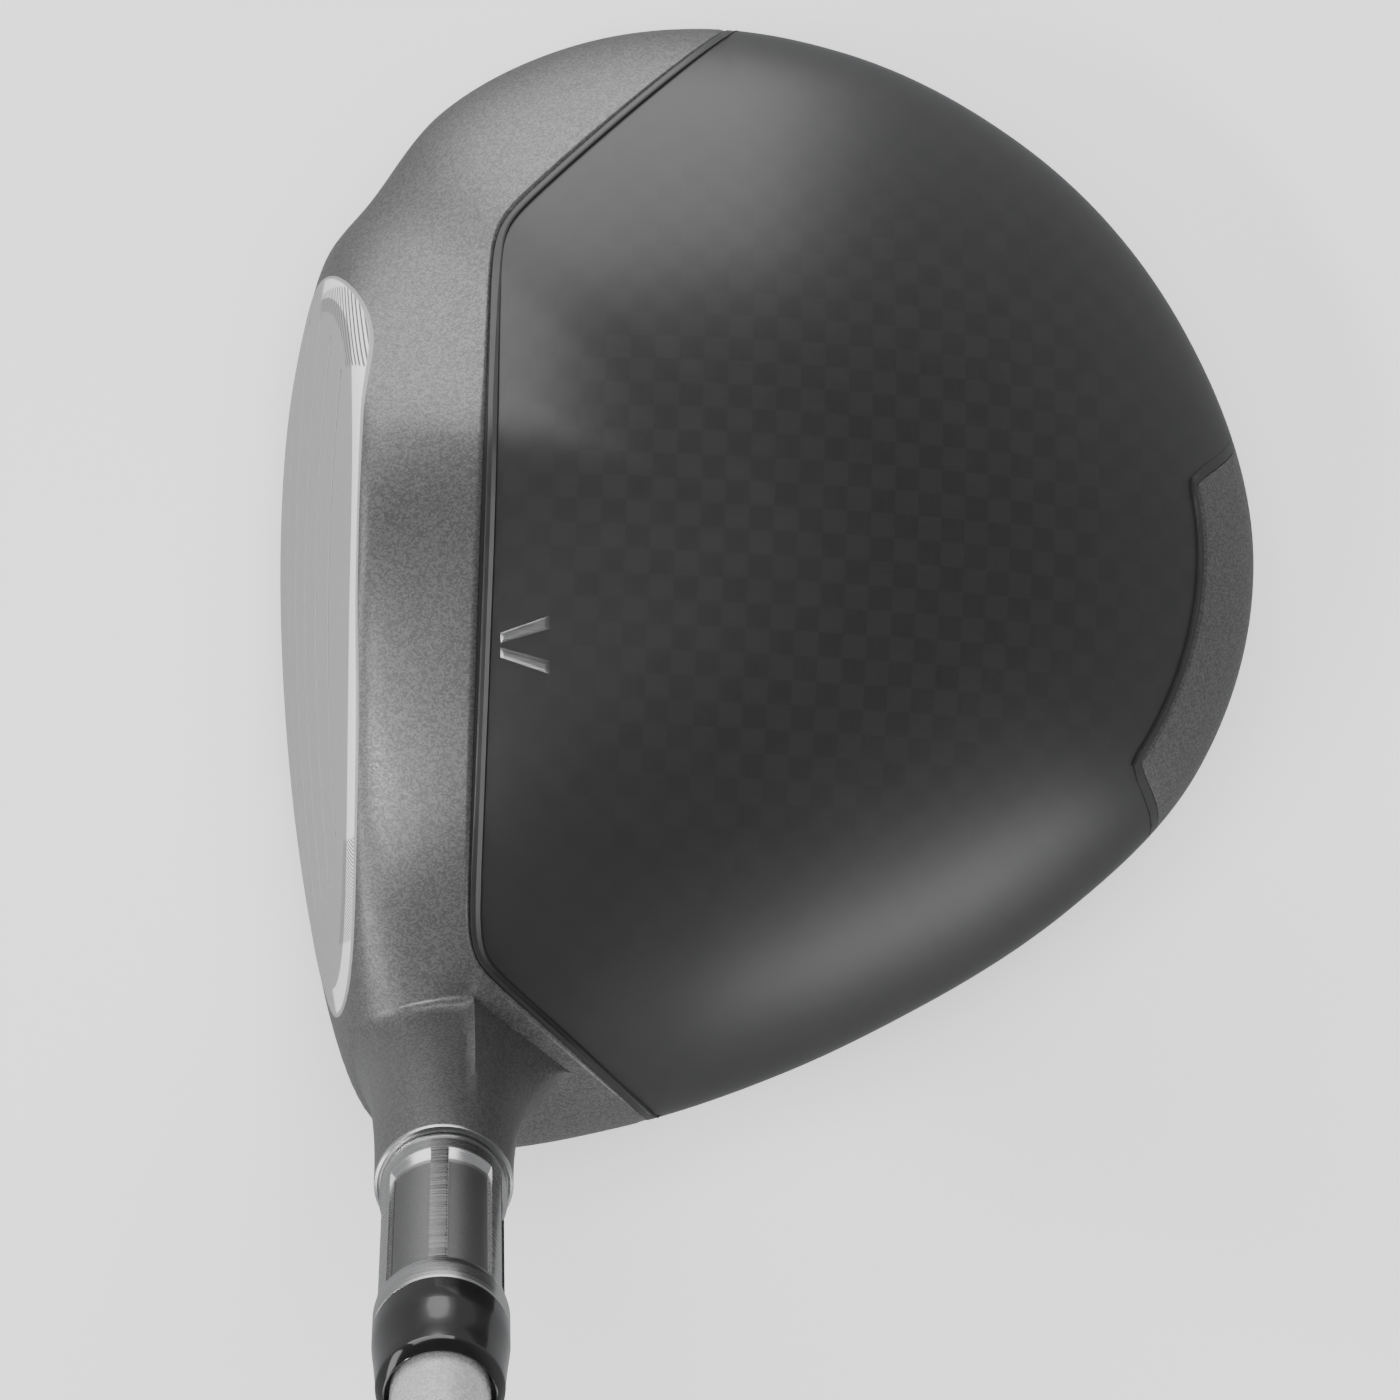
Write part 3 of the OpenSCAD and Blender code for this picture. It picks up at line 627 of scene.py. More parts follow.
def makeBody():
    strip = bodyStrip()
    openFace(strip)
    mergeCorners(strip)
    faceOutwards(strip, (0, 0, 0.029))
    applyModifier(strip, "SOLIDIFY", thickness=1.7 * mm, offset=-1, use_even_offset=False)
    smooth(strip, 40)
    cutBy(strip, rod(hosel["access"], hosel["foot"] - 20, -30, hoselFrame))
    cutBy(strip, slotBlock("slotCutter", 0))
    flare = neckFlare()
    faceOutwards(flare, (-0.0378, -0.0695, 0.045))
    smooth(flare, 40)
    tube = hoselTube()
    return joined("headBody", [strip, flare, tube])


slotSizes = {"x": -41, "y": -4, "width": 4.4, "length": 62, "gap": 0.06, "sunk": 0.25}


def slotBlock(name, gap, low=-5, high=24):
    # a long bar with round ends, drawn out of a circle
    s = slotSizes
    bpy.ops.object.select_all(action="DESELECT")
    bpy.ops.mesh.primitive_circle_add(vertices=32, radius=(s["width"] / 2 - gap) * mm,
        fill_type="NGON", location=(0, 0, 0))
    piece = bpy.context.object
    piece.name = name
    places = cornersOf(piece)
    places[:, 1] += np.where(places[:, 1] > 1e-6, 1, -1) * (s["length"] - s["width"]) / 2 * mm
    places += np.array([s["x"], s["y"], low]) * mm
    putCorners(piece, places)
    selectOnly(piece)
    bpy.ops.object.mode_set(mode="EDIT")
    bpy.ops.mesh.select_all(action="SELECT")
    bpy.ops.mesh.extrude_region_move(TRANSFORM_OT_translate={"value": (0, 0, (high - low) * mm)})
    bpy.ops.object.mode_set(mode="OBJECT")
    bpy.ops.object.transform_apply(location=True, rotation=True, scale=True)
    faceOutwards(piece)
    return piece


def makeSlotInsert():
    # rubber strip that follows the sole inside its slot, ribbed along its middle
    s = slotSizes
    columns, rows = 24, 240
    half = s["width"] / 2 - s["gap"]
    long = s["length"] / 2 - s["gap"]

    def soleHeight(x, y):
        a = np.degrees(np.arctan2(y, x))
        v = vAt(a, np.hypot(x, y), -1)
        return under(a, v, 0)[..., 2]

    def shape(u, w):
        along = (w * 2 - 1) * long
        straight = long - half
        over = np.clip((np.abs(along) - straight) / half, 0, 1)
        wide = half * np.sqrt(np.maximum(0, 1 - over**2))
        across = (u * 2 - 1) * wide
        rib = 0.3 * (np.abs(np.mod(along, 3) - 1.5) < 0.5) * (np.abs(across) < 1.3) * (over < 0.3)
        edge = lipDepth(np.minimum(wide - np.abs(across), seams["lip"]))
        x, y = s["x"] + across, s["y"] + along
        return np.stack([x, y, soleHeight(x, y) + s["sunk"] + edge + rib], -1)

    piece = skinGrid("slotInsert", columns, rows, shape)
    mergeCorners(piece)
    faceOutwards(piece, (-0.041, -0.004, 0.029))
    applyModifier(piece, "SOLIDIFY", thickness=2.2 * mm, offset=-1, use_even_offset=False)
    smooth(piece, 35)
    return piece


weightSizes = {
    "at": (41.3622, -7.29327, 13.6814), "out": (0.5575, -0.12909, -0.820079), "radius": 8, "deep": 6.5,
    "sink": 0.8, "gap": 0.1, "boss": 1.8, "headRadius": 3.4, "thread": 2.5,
}
out = Vector(weightSizes["out"]).normalized()
weightFrame = (Matrix.Translation(Vector(weightSizes["at"]) * mm)
    @ Matrix.Rotation(math.atan2(out.y, out.x), 4, "Z") @ Matrix.Rotation(math.acos(out.z), 4, "Y"))


def makeHousing():
    angles = endLines(seams["housing"][0] + 0.25, seams["housing"][1] - 0.25, 0.5)
    top, foot = crownEdge(angles) - halfGap, soleEdge(angles) + halfGap
    between = top + (foot - top) * np.linspace(0, 1, 66)[1:-1, None]
    shell = stripPanel("rearHousing", angles, top, foot, between)
    mergeCorners(shell)
    faceOutwards(shell, (0, 0, 0.029))
    applyModifier(shell, "SOLIDIFY", thickness=1.7 * mm, offset=-1, use_even_offset=False)
    smooth(shell, 40)
    w = weightSizes
    deep = -w["sink"] - w["deep"] - 0.1
    cutBy(shell, rod(w["radius"] + w["gap"], deep - 8, 12, weightFrame, 96))
    wall = w["radius"] + w["boss"]
    hole = w["radius"] + w["gap"]
    cup = turned("weightCup", softened([(w["thread"] + 0.05, deep), (hole, deep), (hole, -1.1),
        (wall, -1.6), (wall, deep - 3.5), (w["thread"] + 0.05, deep - 3.5), (w["thread"] + 0.05, deep)],
        0.3), weightFrame, 96)
    return joined("rearHousing", [shell, cup])


def lobed(limit, above, amount=0.16):  # turns the round socket of a screw six-lobed
    def reshape(places):
        r = np.hypot(places[:, 0], places[:, 1])
        a = np.arctan2(places[:, 1], places[:, 0])
        k = np.where((r < limit) & (places[:, 2] > above), 1 + amount * np.cos(6 * a), 1)
        return places * np.stack([k, k, np.ones(len(k))], -1)
    return reshape


def threaded(radius, low, high, pitch=0.8):  # outline of a screw's threaded shank, low end first
    out = [(0, low), (radius - 0.6, low), (radius - 0.1, low + 0.5)]
    z = low + 0.7
    while z < high - pitch:
        out += [(radius - 0.32, z), (radius, z + pitch * 0.4), (radius, z + pitch * 0.5),
            (radius - 0.32, z + pitch * 0.9)]
        z += pitch
    return out


def makeWeight():
    w = weightSizes
    low, high = -w["sink"] - w["deep"], -w["sink"]
    hole, seat = w["thread"] + 0.1, w["headRadius"] + 0.1
    outline = [(hole, low), (w["radius"], low), (w["radius"], high), (w["radius"] - 1.1, high),
        (w["radius"] - 1.3, high - 0.25), (w["radius"] - 1.9, high - 0.25), (w["radius"] - 2.1, high),
        (seat, high), (seat, high - 3.2), (hole, high - 3.2), (hole, low)]
    return turned("rearWeight", softened(outline, 0.22), weightFrame, 128)


def makeWeightScrew():
    w = weightSizes
    r = w["headRadius"]
    top = -w["sink"] - 0.1
    foot = top - 3 - w["deep"]
    outline = threaded(w["thread"], foot, top - 3.2)
    outline += [(w["thread"], top - 3.1), (w["thread"], top - 3)]
    outline += softened([(w["thread"], top - 3), (r, top - 3), (r, top), (r * 0.62, top),
        (r * 0.5, top - 0.25), (r * 0.46, top - 2.1), (0, top - 2.3)], 0.28)[1:]
    return turned("rearWeightScrew", outline, weightFrame, 96, lobed(r * 0.55, top - 2.2))


def makeHoselScrew():
    h = hosel
    placed = hoselFrame @ Matrix.Translation((0, 0, (h["shelf"] - h["shelfThick"] - 4.7) * mm)) \
        @ Matrix.Rotation(math.pi, 4, "X")
    r, foot = 4.1, -23.5
    outline = threaded(2.5, foot, -4.2)
    outline += [(2.5, -4.1), (2.5, -4)]
    outline += softened([(2.5, -4), (r, -4), (r, 0), (r * 0.62, 0), (r * 0.5, -0.25), (r * 0.46, -2.8),
        (0, -3)], 0.3)[1:]
    return turned("hoselScrew", outline, placed, 96, lobed(r * 0.55, -2.9))


def makeBadge():
    outline = [(0, 1), (12, 1), (12, 0), (10.1, 0), (9.9, 0.3), (9.5, 0.3), (9.3, 0), (0, 0)]
    return turned("soleBadge", softened(outline, 0.12), Matrix.Identity(4), 128)


sleeveSizes = {
    "barrel": 6.65, "ring": 6.8, "length": 27, "ringLength": 4, "window": 0.65, "windows": 6, "rib": 16,
    "shank": 5.9, "foot": -28, "floor": -13, "spline": 6.35, "splines": 12,
}


def makeSleeve():
    s = sleeveSizes
    ring = s["length"] - s["ringLength"]
    shank, foot = s["shank"], s["foot"]
    outline = [(0, s["floor"]), (2.55, s["floor"]), (2.55, foot + 0.4), (2.9, foot), (5.1, foot),
        (shank, foot + 0.8), (shank, -20.62), (5.5, -20.4), (5.4, -20), (5.5, -19.6), (shank, -19.38)]
    outline += [(shank, z) for z in (-7.05, -7, -6.9, -5, -3.1, -3, -2.95, 0.05)]
    barrel = [0.05, 0.12, 0.3, 0.8, 1.6, 2.4, 2.7, 2.94, 3.1, 3.4, 3.8, 4.2, 4.45, 4.6, 4.8, 5.2]
    barrel += list(np.linspace(6, 21.4, 20))
    barrel += [21.9, 22.2, 22.4, 22.55, 22.8, 22.9]
    outline += [(s["barrel"] - (0.2 if z < 0.1 else 0.06 if z < 0.2 else 0), z) for z in barrel]
    outline += [(s["barrel"], ring), (s["barrel"] + 0.03, ring + 0.25), (s["ring"] - 0.04, ring + 0.9),
        (s["ring"], ring + 1.2), (s["ring"], 26.6), (s["ring"] - 0.05, 26.88), (s["ring"] - 0.2, 27),
        (4.8, 27), (4.8, 26.5), (0, 26.5)]

    def reshape(places):
        r = np.hypot(places[:, 0], places[:, 1])
        a = np.degrees(np.arctan2(places[:, 1], places[:, 0]))
        z = places[:, 2]
        start = 90 + s["rib"] / 2 + 3
        pitch = 360 / s["windows"]
        wide = pitch - s["rib"]
        t = np.mod(a - start, pitch)
        fromSide = np.minimum(t, wide - t)  # degrees inside a window, negative on a rib
        side = np.clip((fromSide + 0.3) / 0.8, 0, 1)
        floor = s["barrel"] - s["window"]
        low = floor + (4.6 - z) * 1.65 / 4.2
        high = floor + (z - 22.4) * 0.75
        cut = np.maximum(floor, np.maximum(low, high))
        cut = cut + (1 - side) * 2
        soft = np.where((fromSide < -0.3) & (fromSide > -1.4) & (z > 2.8) & (z < 23.2), 0.04, 0)
        outer = (z > 0.1) & (r > 6.3) & (z < 24)
        grown = np.where(outer, np.minimum(r - soft, cut), r)
        teeth = np.abs(np.mod(a + 15, 360 / s["splines"]) - 15) < 5.2
        onTeeth = teeth & (z > -7.02) & (z < -2.98) & (np.abs(r - s["shank"]) < 0.02)
        grown = np.where(onTeeth, s["spline"], grown)
        k = grown / np.maximum(r, 1e-6)
        return places * np.stack([k, k, np.ones(len(k))], -1)

    return turned("loftSleeve", outline, hoselFrame, 720, reshape)


def makeFerrule():
    outline = [(4.8, 2.5), (6.8, 2.5), (6.8, 4), (6.8, 5), (6.72, 6), (6.6, 7.2), (6.48, 8.6),
        (6.36, 10), (6.3, 11.6), (6.27, 11.85), (6.2, 12), (5.62, 12.92), (5.5, 13), (5.38, 12.95),
        (5.35, 12.85), (5.35, 11.4), (4.8, 11.4), (4.8, 2.5)]

    def reshape(places):  # its foot follows the end of the sleeve
        cant = math.radians(hosel["cant"])
        foot = places[:, 2] < 2.6
        flat = (3.03 - places[:, 1] * math.sin(cant)) / math.cos(cant)
        places[:, 2] = np.where(foot, flat, places[:, 2])
        return places

    return turned("ferruleRing", outline, shaftFrame, 128, reshape)


shaftSizes = {
    "foot": -27.9, "tip": 4.7, "paintFrom": 11.5, "radius": 4.9, "straight": 90, "butt": 7.6,
    "top": 1056.94, "wall": 1, "gripFrom": 793.94, "gripTop": 1060.94,
}


def shaftRadius(q):
    s = shaftSizes
    share = np.maximum(0, (q - s["straight"]) / (s["top"] - s["straight"]))
    return s["radius"] + (s["butt"] - s["radius"]) * share


def makeShaft():
    s = shaftSizes
    outline = [(s["tip"] - 0.4, s["foot"] + 0.02), (s["tip"], s["foot"] + 0.4),
        (s["tip"], s["paintFrom"]), (s["radius"] - 0.06, s["paintFrom"]),
        (s["radius"], s["paintFrom"] + 0.1)]
    outline += [(float(shaftRadius(q)), float(q)) for q in np.linspace(s["straight"], s["top"], 28)]
    outline += [(s["butt"] - s["wall"], s["top"]), (s["radius"] - s["wall"] - 0.2, s["straight"]),
        (s["tip"] - s["wall"], s["foot"] + 0.1), (s["tip"] - 0.4, s["foot"] + 0.02)]
    return turned("clubShaft", outline, shaftFrame, 96)


gripSizes = {
    "mouth": 9.7, "cap": 13.5, "round": 3, "vent": 1.6, "cut": 0.3, "crosses": 20, "lead": 0.26,
    "pitch": 64, "plain": 5, "glue": 0.23,
}


def makeGrip():
    g, s = gripSizes, shaftSizes
    start, top, mouth, cap = s["gripFrom"], s["gripTop"], g["mouth"], g["cap"]
    bore = float(shaftRadius(start)) + g["glue"]
    slope = (cap - 0.9 - mouth) / (top - start - 22)
    outline = [(bore, start), (mouth - 0.6, start), (mouth - 0.2, start + 0.2)]
    outline += [(mouth, start + q) for q in (0.8, 2, 3, 5)]
    outline += [(mouth + slope * (q - start - 8), float(q))
        for q in np.linspace(start + 8, top - 14, 360)]
    outline += [(cap - 0.45, top - 10.5), (cap, top - 7)]
    outline += [(cap - g["round"] * (1 - math.cos(a)), top - g["round"] * (1 - math.sin(a)))
        for a in np.linspace(0, math.pi / 2, 10)]
    outline += [(8.4, top), (8.2, top - 0.35), (7.6, top - 0.35), (7.4, top), (g["vent"] + 0.3, top),
        (g["vent"], top - 0.3), (g["vent"], s["top"] + 0.02), (s["butt"] + g["glue"], s["top"] + 0.02),
        (bore, start)]

    def reshape(places):
        r = np.hypot(places[:, 0], places[:, 1])
        turn = np.arctan2(places[:, 1], places[:, 0]) * g["crosses"] / 2
        q = places[:, 2]
        outside = r > 8.5
        zone = ease((q - start - 16) / 3) * ease((top - 26 - q) / 3) * outside
        one = np.abs(np.sin(turn + (q - start) * g["lead"]))
        two = np.abs(np.sin(turn - (q - start) * g["lead"]))
        cut = np.maximum(ease((0.3 - one) / 0.25), ease((0.3 - two) / 0.25))
        fromBand = np.abs(np.mod(q - start, g["pitch"]) - g["pitch"] / 2)
        cut = np.where(fromBand < g["plain"], 0, cut)  # smooth bands between the crossed zones
        cut = np.maximum(cut, np.abs(fromBand - g["plain"]) < 0.6)
        ends = np.abs(q - start - 12) < 0.7
        ends = ends | (np.abs(q - start - 14.5) < 0.7) | (np.abs(q - top + 20) < 0.7)
        cut = cut * zone + ends * outside
        k = 1 - g["cut"] * cut / np.maximum(r, 1)
        return places * np.stack([k, k, np.ones(len(k))], -1)

    return turned("handGrip", outline, shaftFrame, 192, reshape)


faceDetail = {
    # height and half length of each line
    "lines": [(46.2, 26.0), (39.6, 31.0), (33.0, 34.5), (26.4, 35.0), (19.8, 32.0)],
    "lineWidth": 0.5, "lineDepth": 0.16,
    "stripeFrom": 0.35, "stripeTo": 1.9, "ticksTo": 3, "blur": 0.15,
    "ticksBetween": (26, 37), "tickPitch": 0.62, "tickLean": 1.1,
}


def makeFaceCover():
    # woven skin over the face plate, its scored lines are real grooves
    f, d = faceSizes, faceDetail
    top, foot = f["middle"][1] + f["up"], f["middle"][1] - f["down"]
    lines = [foot + (top - foot) * (1 - math.cos(math.pi * t)) / 2 for t in np.linspace(0, 1, 70)]
    for height, _ in d["lines"]:
        w = d["lineWidth"]
        lines = [z for z in lines if abs(z - height) > w * 1.3]
        lines += [height + k * w for k in (-1, -0.6, -0.35, -0.15, 0, 0.15, 0.35, 0.6, 1)]
    lines = np.sort(np.array(lines))
    columns = 260
    angles = np.linspace(0, 2 * np.pi, 4001)
    rim = np.stack([faceRadius(angles) * np.cos(angles), faceRadius(angles) * np.sin(angles)], -1)

    def halfWidth(w, side):  # how far the outline reaches at a height
        part = rim[(rim[:, 0] * side >= 0)]
        order = np.argsort(part[:, 1])
        return np.interp(w, part[order, 1], np.abs(part[order, 0]))

    toe = halfWidth(lines - f["middle"][1], 1)
    heel = halfWidth(lines - f["middle"][1], -1)

    def shape(u, w):
        j = np.rint(w * (len(lines) - 1)).astype(int)
        z = lines[j]
        share = (1 - np.cos(np.pi * u)) / 2 * 0.35 + u * 0.65
        y = f["middle"][0] - heel[j] + (heel[j] + toe[j]) * share
        edge = (1 - faceShare(y, z)) * 24
        depth = -f["proud"] + lipDepth(np.maximum(edge, 0))
        for height, half in d["lines"]:
            away = np.abs(z - height) / (d["lineWidth"] / 2)
            length = ease((half - np.abs(y - f["middle"][0])) / 0.8)
            depth = depth + d["lineDepth"] * ease((1.15 - away) / 0.7) * length
        plan.append(np.stack([np.zeros(len(y)), y, z], -1) * mm)
        return onFace(y, z, depth)

    plan = []
    piece = skinGrid("faceCover", columns, len(lines) - 1, shape)
    # the pattern's own flat places
    mapped = piece.data.attributes.new("facePlan", "FLOAT_VECTOR", "POINT")
    mapped.data.foreach_set("vector", plan[0].ravel())
    mergeCorners(piece)
    faceOutwards(piece, (0.02, -0.006, 0.0315))
    applyModifier(piece, "SOLIDIFY", thickness=f["thick"] * mm, offset=-1, use_even_offset=False)
    smooth(piece, 35)
    return piece


markAt = (-29.3, -12.3)


def makeMark():
    # plain chevron of two slim bars, inlaid at the front of the crown
    bars = []
    for side in (-1, 1):
        corners = np.array([[-2.6, 0.25], [-2.6, 1.3], [2.6, 3.1], [2.6, 1.7]]) * [1, side]
        columns, rows = 24, 8

        def shape(u, w):
            low = corners[0] + (corners[3] - corners[0]) * u[:, None]
            high = corners[1] + (corners[2] - corners[1]) * u[:, None]
            spot = low + (high - low) * w[:, None] + np.array(markAt)
            a = np.degrees(np.arctan2(spot[:, 1], spot[:, 0]))
            v = vAt(a, np.hypot(spot[:, 0], spot[:, 1]), 1)
            edge = np.minimum(np.minimum(u, 1 - u) * 5.2, np.minimum(w, 1 - w) * 1.2)
            return under(a, v, -0.11 + 0.1 * ease(1 - edge / 0.25))

        bar = skinGrid("markBar", columns, rows, shape)
        faceOutwards(bar, (-0.03, -0.01, 0.02))
        applyModifier(bar, "SOLIDIFY", thickness=0.12 * mm, offset=-1, use_even_offset=False)
        smooth(bar, 40)
        bars.append(bar)
    return joined("crownMark", bars)


def makeBodyPaint(name, level):
    f = Finish(name)
    spot = f.place()
    grain = f.noise(spot, 2600, 2.0)
    flake = f.node("TexVoronoi", {"feature": "F1"}, {"Vector": spot, "Scale": 5200}, "Color")
    sparkle = f.axes(flake)[0]
    shade = f.blend(sparkle.ramp(0.1, 0.95), grey(level * 0.8), grey(level * 1.25, 0.01))
    height = grain * 0.5 + sparkle * 0.5
    return f.surface(baseColor=shade, metallic=0.75, roughness=grain.ramp(0.3, 0.7, 0.36, 0.46),
        normal=f.bump(height, 0.16, 0.00006), coatWeight=0.12, coatRoughness=0.3)


def makeRimMetal():
    f = Finish("rimMetal")
    spot = f.place(hoselFrame)
    x, y, z = f.axes(spot)
    lines = f.noise(f.node("CombineXYZ", None, {0: x * 0.02, 1: y * 0.02, 2: z}), 9000, 2.0)
    return f.surface(baseColor=f.blend(lines, grey(0.62), grey(0.78)), metallic=1.0,
        roughness=lines.ramp(0.3, 0.7, 0.2, 0.34))


def makeCrownCarbon():
    f = Finish("crownCarbon")
    square, tilt = 0.00265, 2.0
    turn = Matrix.Rotation(math.radians(-tilt), 4, "Z")
    x, y, _ = f.axes(f.place(turn))
    across, along = x / square, y / square
    column, row = across.maths("FLOOR", across), along.maths("FLOOR", along)
    over = abs((column + row) % 2)  # 1 where the tow lies crossways
    fx, fy = across - column, along - row
    pillowX = 1 - abs(fx * 2 - 1) ** 4
    pillowY = 1 - abs(fy * 2 - 1) ** 4
    crossing = (pillowX ** 0.6) * over * (pillowY ** 0.25)
    height = crossing + (pillowY ** 0.6) * (1 - over) * (pillowX ** 0.25)
    spot = f.place(turn)
    fibresA = f.noise(f.node("Mapping", None, {"Vector": spot, "Scale": (300, 14000, 300)}), 1.0, 2.0)
    fibresB = f.noise(f.node("Mapping", None, {"Vector": spot, "Scale": (14000, 300, 300)}), 1.0, 2.0)
    fibres = fibresA * over + fibresB * (1 - over)
    away = ((x - 0.004) ** 2 + (y - 0.006) ** 2) ** 0.5
    clear = 1 - away.ramp(0.018, 0.055) * 0.8  # the weave shows best in the middle
    tone = over * clear * 0.22 + fibres * 0.35 + f.noise(spot, 240, 2.0) * 0.3
    shade = f.blend(tone, grey(0.018), grey(0.036, 0.004))
    return f.surface(baseColor=shade, metallic=0.2, roughness=fibres.ramp(0.2, 0.8, 0.38, 0.44),
        normal=f.bump(height * clear + fibres * 0.1, 0.05, 0.00005), coatWeight=0.5, coatRoughness=0.3,
        coatIOR=1.5)


def makeBond():
    f = Finish("bondBlack")
    grain = f.noise(f.place(), 1800)
    return f.surface(baseColor=f.blend(grain, grey(0.004), grey(0.012)),
        roughness=grain.ramp(0.3, 0.7, 0.5, 0.7),
        normal=f.bump(grain, 0.2, 0.00003))


def makeSoleCarbon():
    f = Finish("soleCarbon")
    square = 0.0024
    turn = Matrix.Rotation(math.radians(45), 4, "Z")
    spot = f.place(turn)
    x, y, _ = f.axes(spot)
    column, row = x / square, y / square
    step = (column.maths("FLOOR", column) + row.maths("FLOOR", row)) % 4
    over = step < 2  # a twill, so the light cells climb in steps
    fibresA = f.noise(f.node("Mapping", None, {"Vector": spot, "Scale": (300, 12000, 300)}), 1.0, 2.0)
    fibresB = f.noise(f.node("Mapping", None, {"Vector": spot, "Scale": (12000, 300, 300)}), 1.0, 2.0)
    fibres = fibresA * over + fibresB * (1 - over)
    shade = f.blend(over * 0.45 + fibres * 0.5, grey(0.006), grey(0.05))
    return f.surface(baseColor=shade, metallic=0.3, roughness=fibres.ramp(0.2, 0.8, 0.3, 0.42),
        normal=f.bump(fibres, 0.15, 0.00004), coatWeight=0.9, coatRoughness=0.06)


def makePlateCarbon():
    f = Finish("plateCarbon")
    x, y, z = f.axes(f.place())
    layers = f.noise(f.node("CombineXYZ", None, {0: x * 30, 1: y, 2: z}), 400, 3.0)
    return f.surface(baseColor=f.blend(layers, grey(0.012), grey(0.04)),
        roughness=layers.ramp(0.3, 0.7, 0.4, 0.55),
        normal=f.bump(layers, 0.2, 0.00004))


def makeFaceSkin():
    # pale insert with a bright band under its top edge and slim slanted ticks at both ends
    f, d = Finish("faceSkin"), faceDetail
    spot = f.place()
    plan = f.node("Attribute", {"attribute_name": "facePlan"}, {}, "Vector")
    _, y, z = f.axes(plan)
    u = (y - faceSizes["middle"][0] * mm) / mm
    w = (z - faceSizes["middle"][1] * mm) / mm
    wide = u > 0.0
    reachWide = wide * faceSizes["toe"] + (1 - wide) * faceSizes["heel"]
    lean = faceSizes["lean"]
    share = (abs(u / reachWide) ** lean + abs(w / faceSizes["up"]) ** lean) ** (1 / lean)
    fromEdge = (1 - share) * faceSizes["up"]
    upper = w.ramp(0.0, 2.0)
    inside = fromEdge.ramp(d["stripeFrom"], d["stripeFrom"] + d["blur"])
    band = inside * (1 - fromEdge.ramp(d["stripeTo"], d["stripeTo"] + d["blur"])) * upper
    near, far = d["ticksBetween"]
    along = abs(u + 0.5)
    ends = along.ramp(near, near + 0.4) * (1 - along.ramp(far, far + 0.4))
    ticks = ((u + w * d["tickLean"]) / d["tickPitch"]) % 1
    hatch = ends * (ticks < 0.42) * inside * upper
    hatch = hatch * (1 - fromEdge.ramp(d["ticksTo"], d["ticksTo"] + d["blur"]))
    line = 0
    for height, half in d["lines"]:
        groove = 1 - abs(z / mm - height).ramp(d["lineWidth"] * 0.32, d["lineWidth"] * 0.5)
        line = groove * (1 - abs(u).ramp(half - 0.5, half)) + line
    grain = f.noise(spot, 3000, 2.0)
    weave = f.noise(f.node("Mapping", None, {"Vector": spot, "Scale": (800, 800, 6000)}), 1.0, 2.0)
    base = f.blend(weave, grey(0.29), grey(0.36))
    shade = f.blend(band, base, grey(0.85))
    shade = f.blend(hatch, shade, grey(0.12))
    shade = f.blend(line, shade, grey(0.06))
    return f.surface(baseColor=shade, metallic=0.2, roughness=grain.ramp(0.3, 0.7, 0.4, 0.5),
        normal=f.bump(grain * 0.4 + weave * 0.6, 0.12, 0.00005))


def makeTurnedMetal(name, placed, low, high, fineness=7000, rough=(0.2, 0.32)):
    # bright metal with the fine rings a lathe leaves
    f = Finish(name)
    spot = f.place(placed)
    x, y, z = f.axes(spot)
    radius = (x * x + y * y) ** 0.5
    rings = f.noise(f.node("CombineXYZ", None, {0: radius, 1: 0.0, 2: z}), fineness, 2.0, 0.6)
    wander = f.noise(spot, 180, 2.0)
    shade = f.blend(rings * 0.7 + wander * 0.3, grey(low), grey(high))
    return f, spot, rings, shade, rings.ramp(0.3, 0.7, *rough)


def makeSleeveMetal():
    f, spot, rings, shade, rough = makeTurnedMetal("sleeveMetal", hoselFrame, 0.5, 0.74, 5200)
    x, y, z = f.axes(spot)
    radius = (x * x + y * y) ** 0.5
    floor = (1 - radius.ramp(0.00608, 0.0062)) * z.ramp(0.0036, 0.0044) * (1 - z.ramp(0.0225, 0.0229))
    blast = f.noise(spot, 5200, 3.0, 0.7)
    pits = f.blend(blast, grey(0.16), grey(0.34))
    colour = f.blend(floor, shade, pits)
    height = rings * (1 - floor) * 0.5 + blast * floor * 1.4
    return f.surface(baseColor=colour, metallic=1.0, roughness=rough * (1 - floor) + floor * 0.5,
        normal=f.bump(height, 0.3, 0.00004))


def makeMetal(name, placed, low, high, rough=(0.2, 0.32)):
    f, _, rings, shade, roughness = makeTurnedMetal(name, placed, low, high, 6000, rough)
    return f.surface(baseColor=shade, metallic=1.0, roughness=roughness,
        normal=f.bump(rings, 0.2, 0.00003))


def makeSlotRubber():
    f = Finish("slotRubber")
    grain = f.noise(f.place(), 2400)
    return f.surface(baseColor=f.blend(grain, grey(0.01), grey(0.028)),
        roughness=grain.ramp(0.3, 0.7, 0.55, 0.7),
        normal=f.bump(grain, 0.3, 0.00005))


def makeFerruleGloss():
    f = Finish("ferruleGloss")
    haze = f.noise(f.place(), 300)
    return f.surface(baseColor=f.blend(haze, grey(0.006), grey(0.011)),
        roughness=haze.ramp(0.3, 0.7, 0.12, 0.17),
        coatWeight=0.6, coatRoughness=0.05)


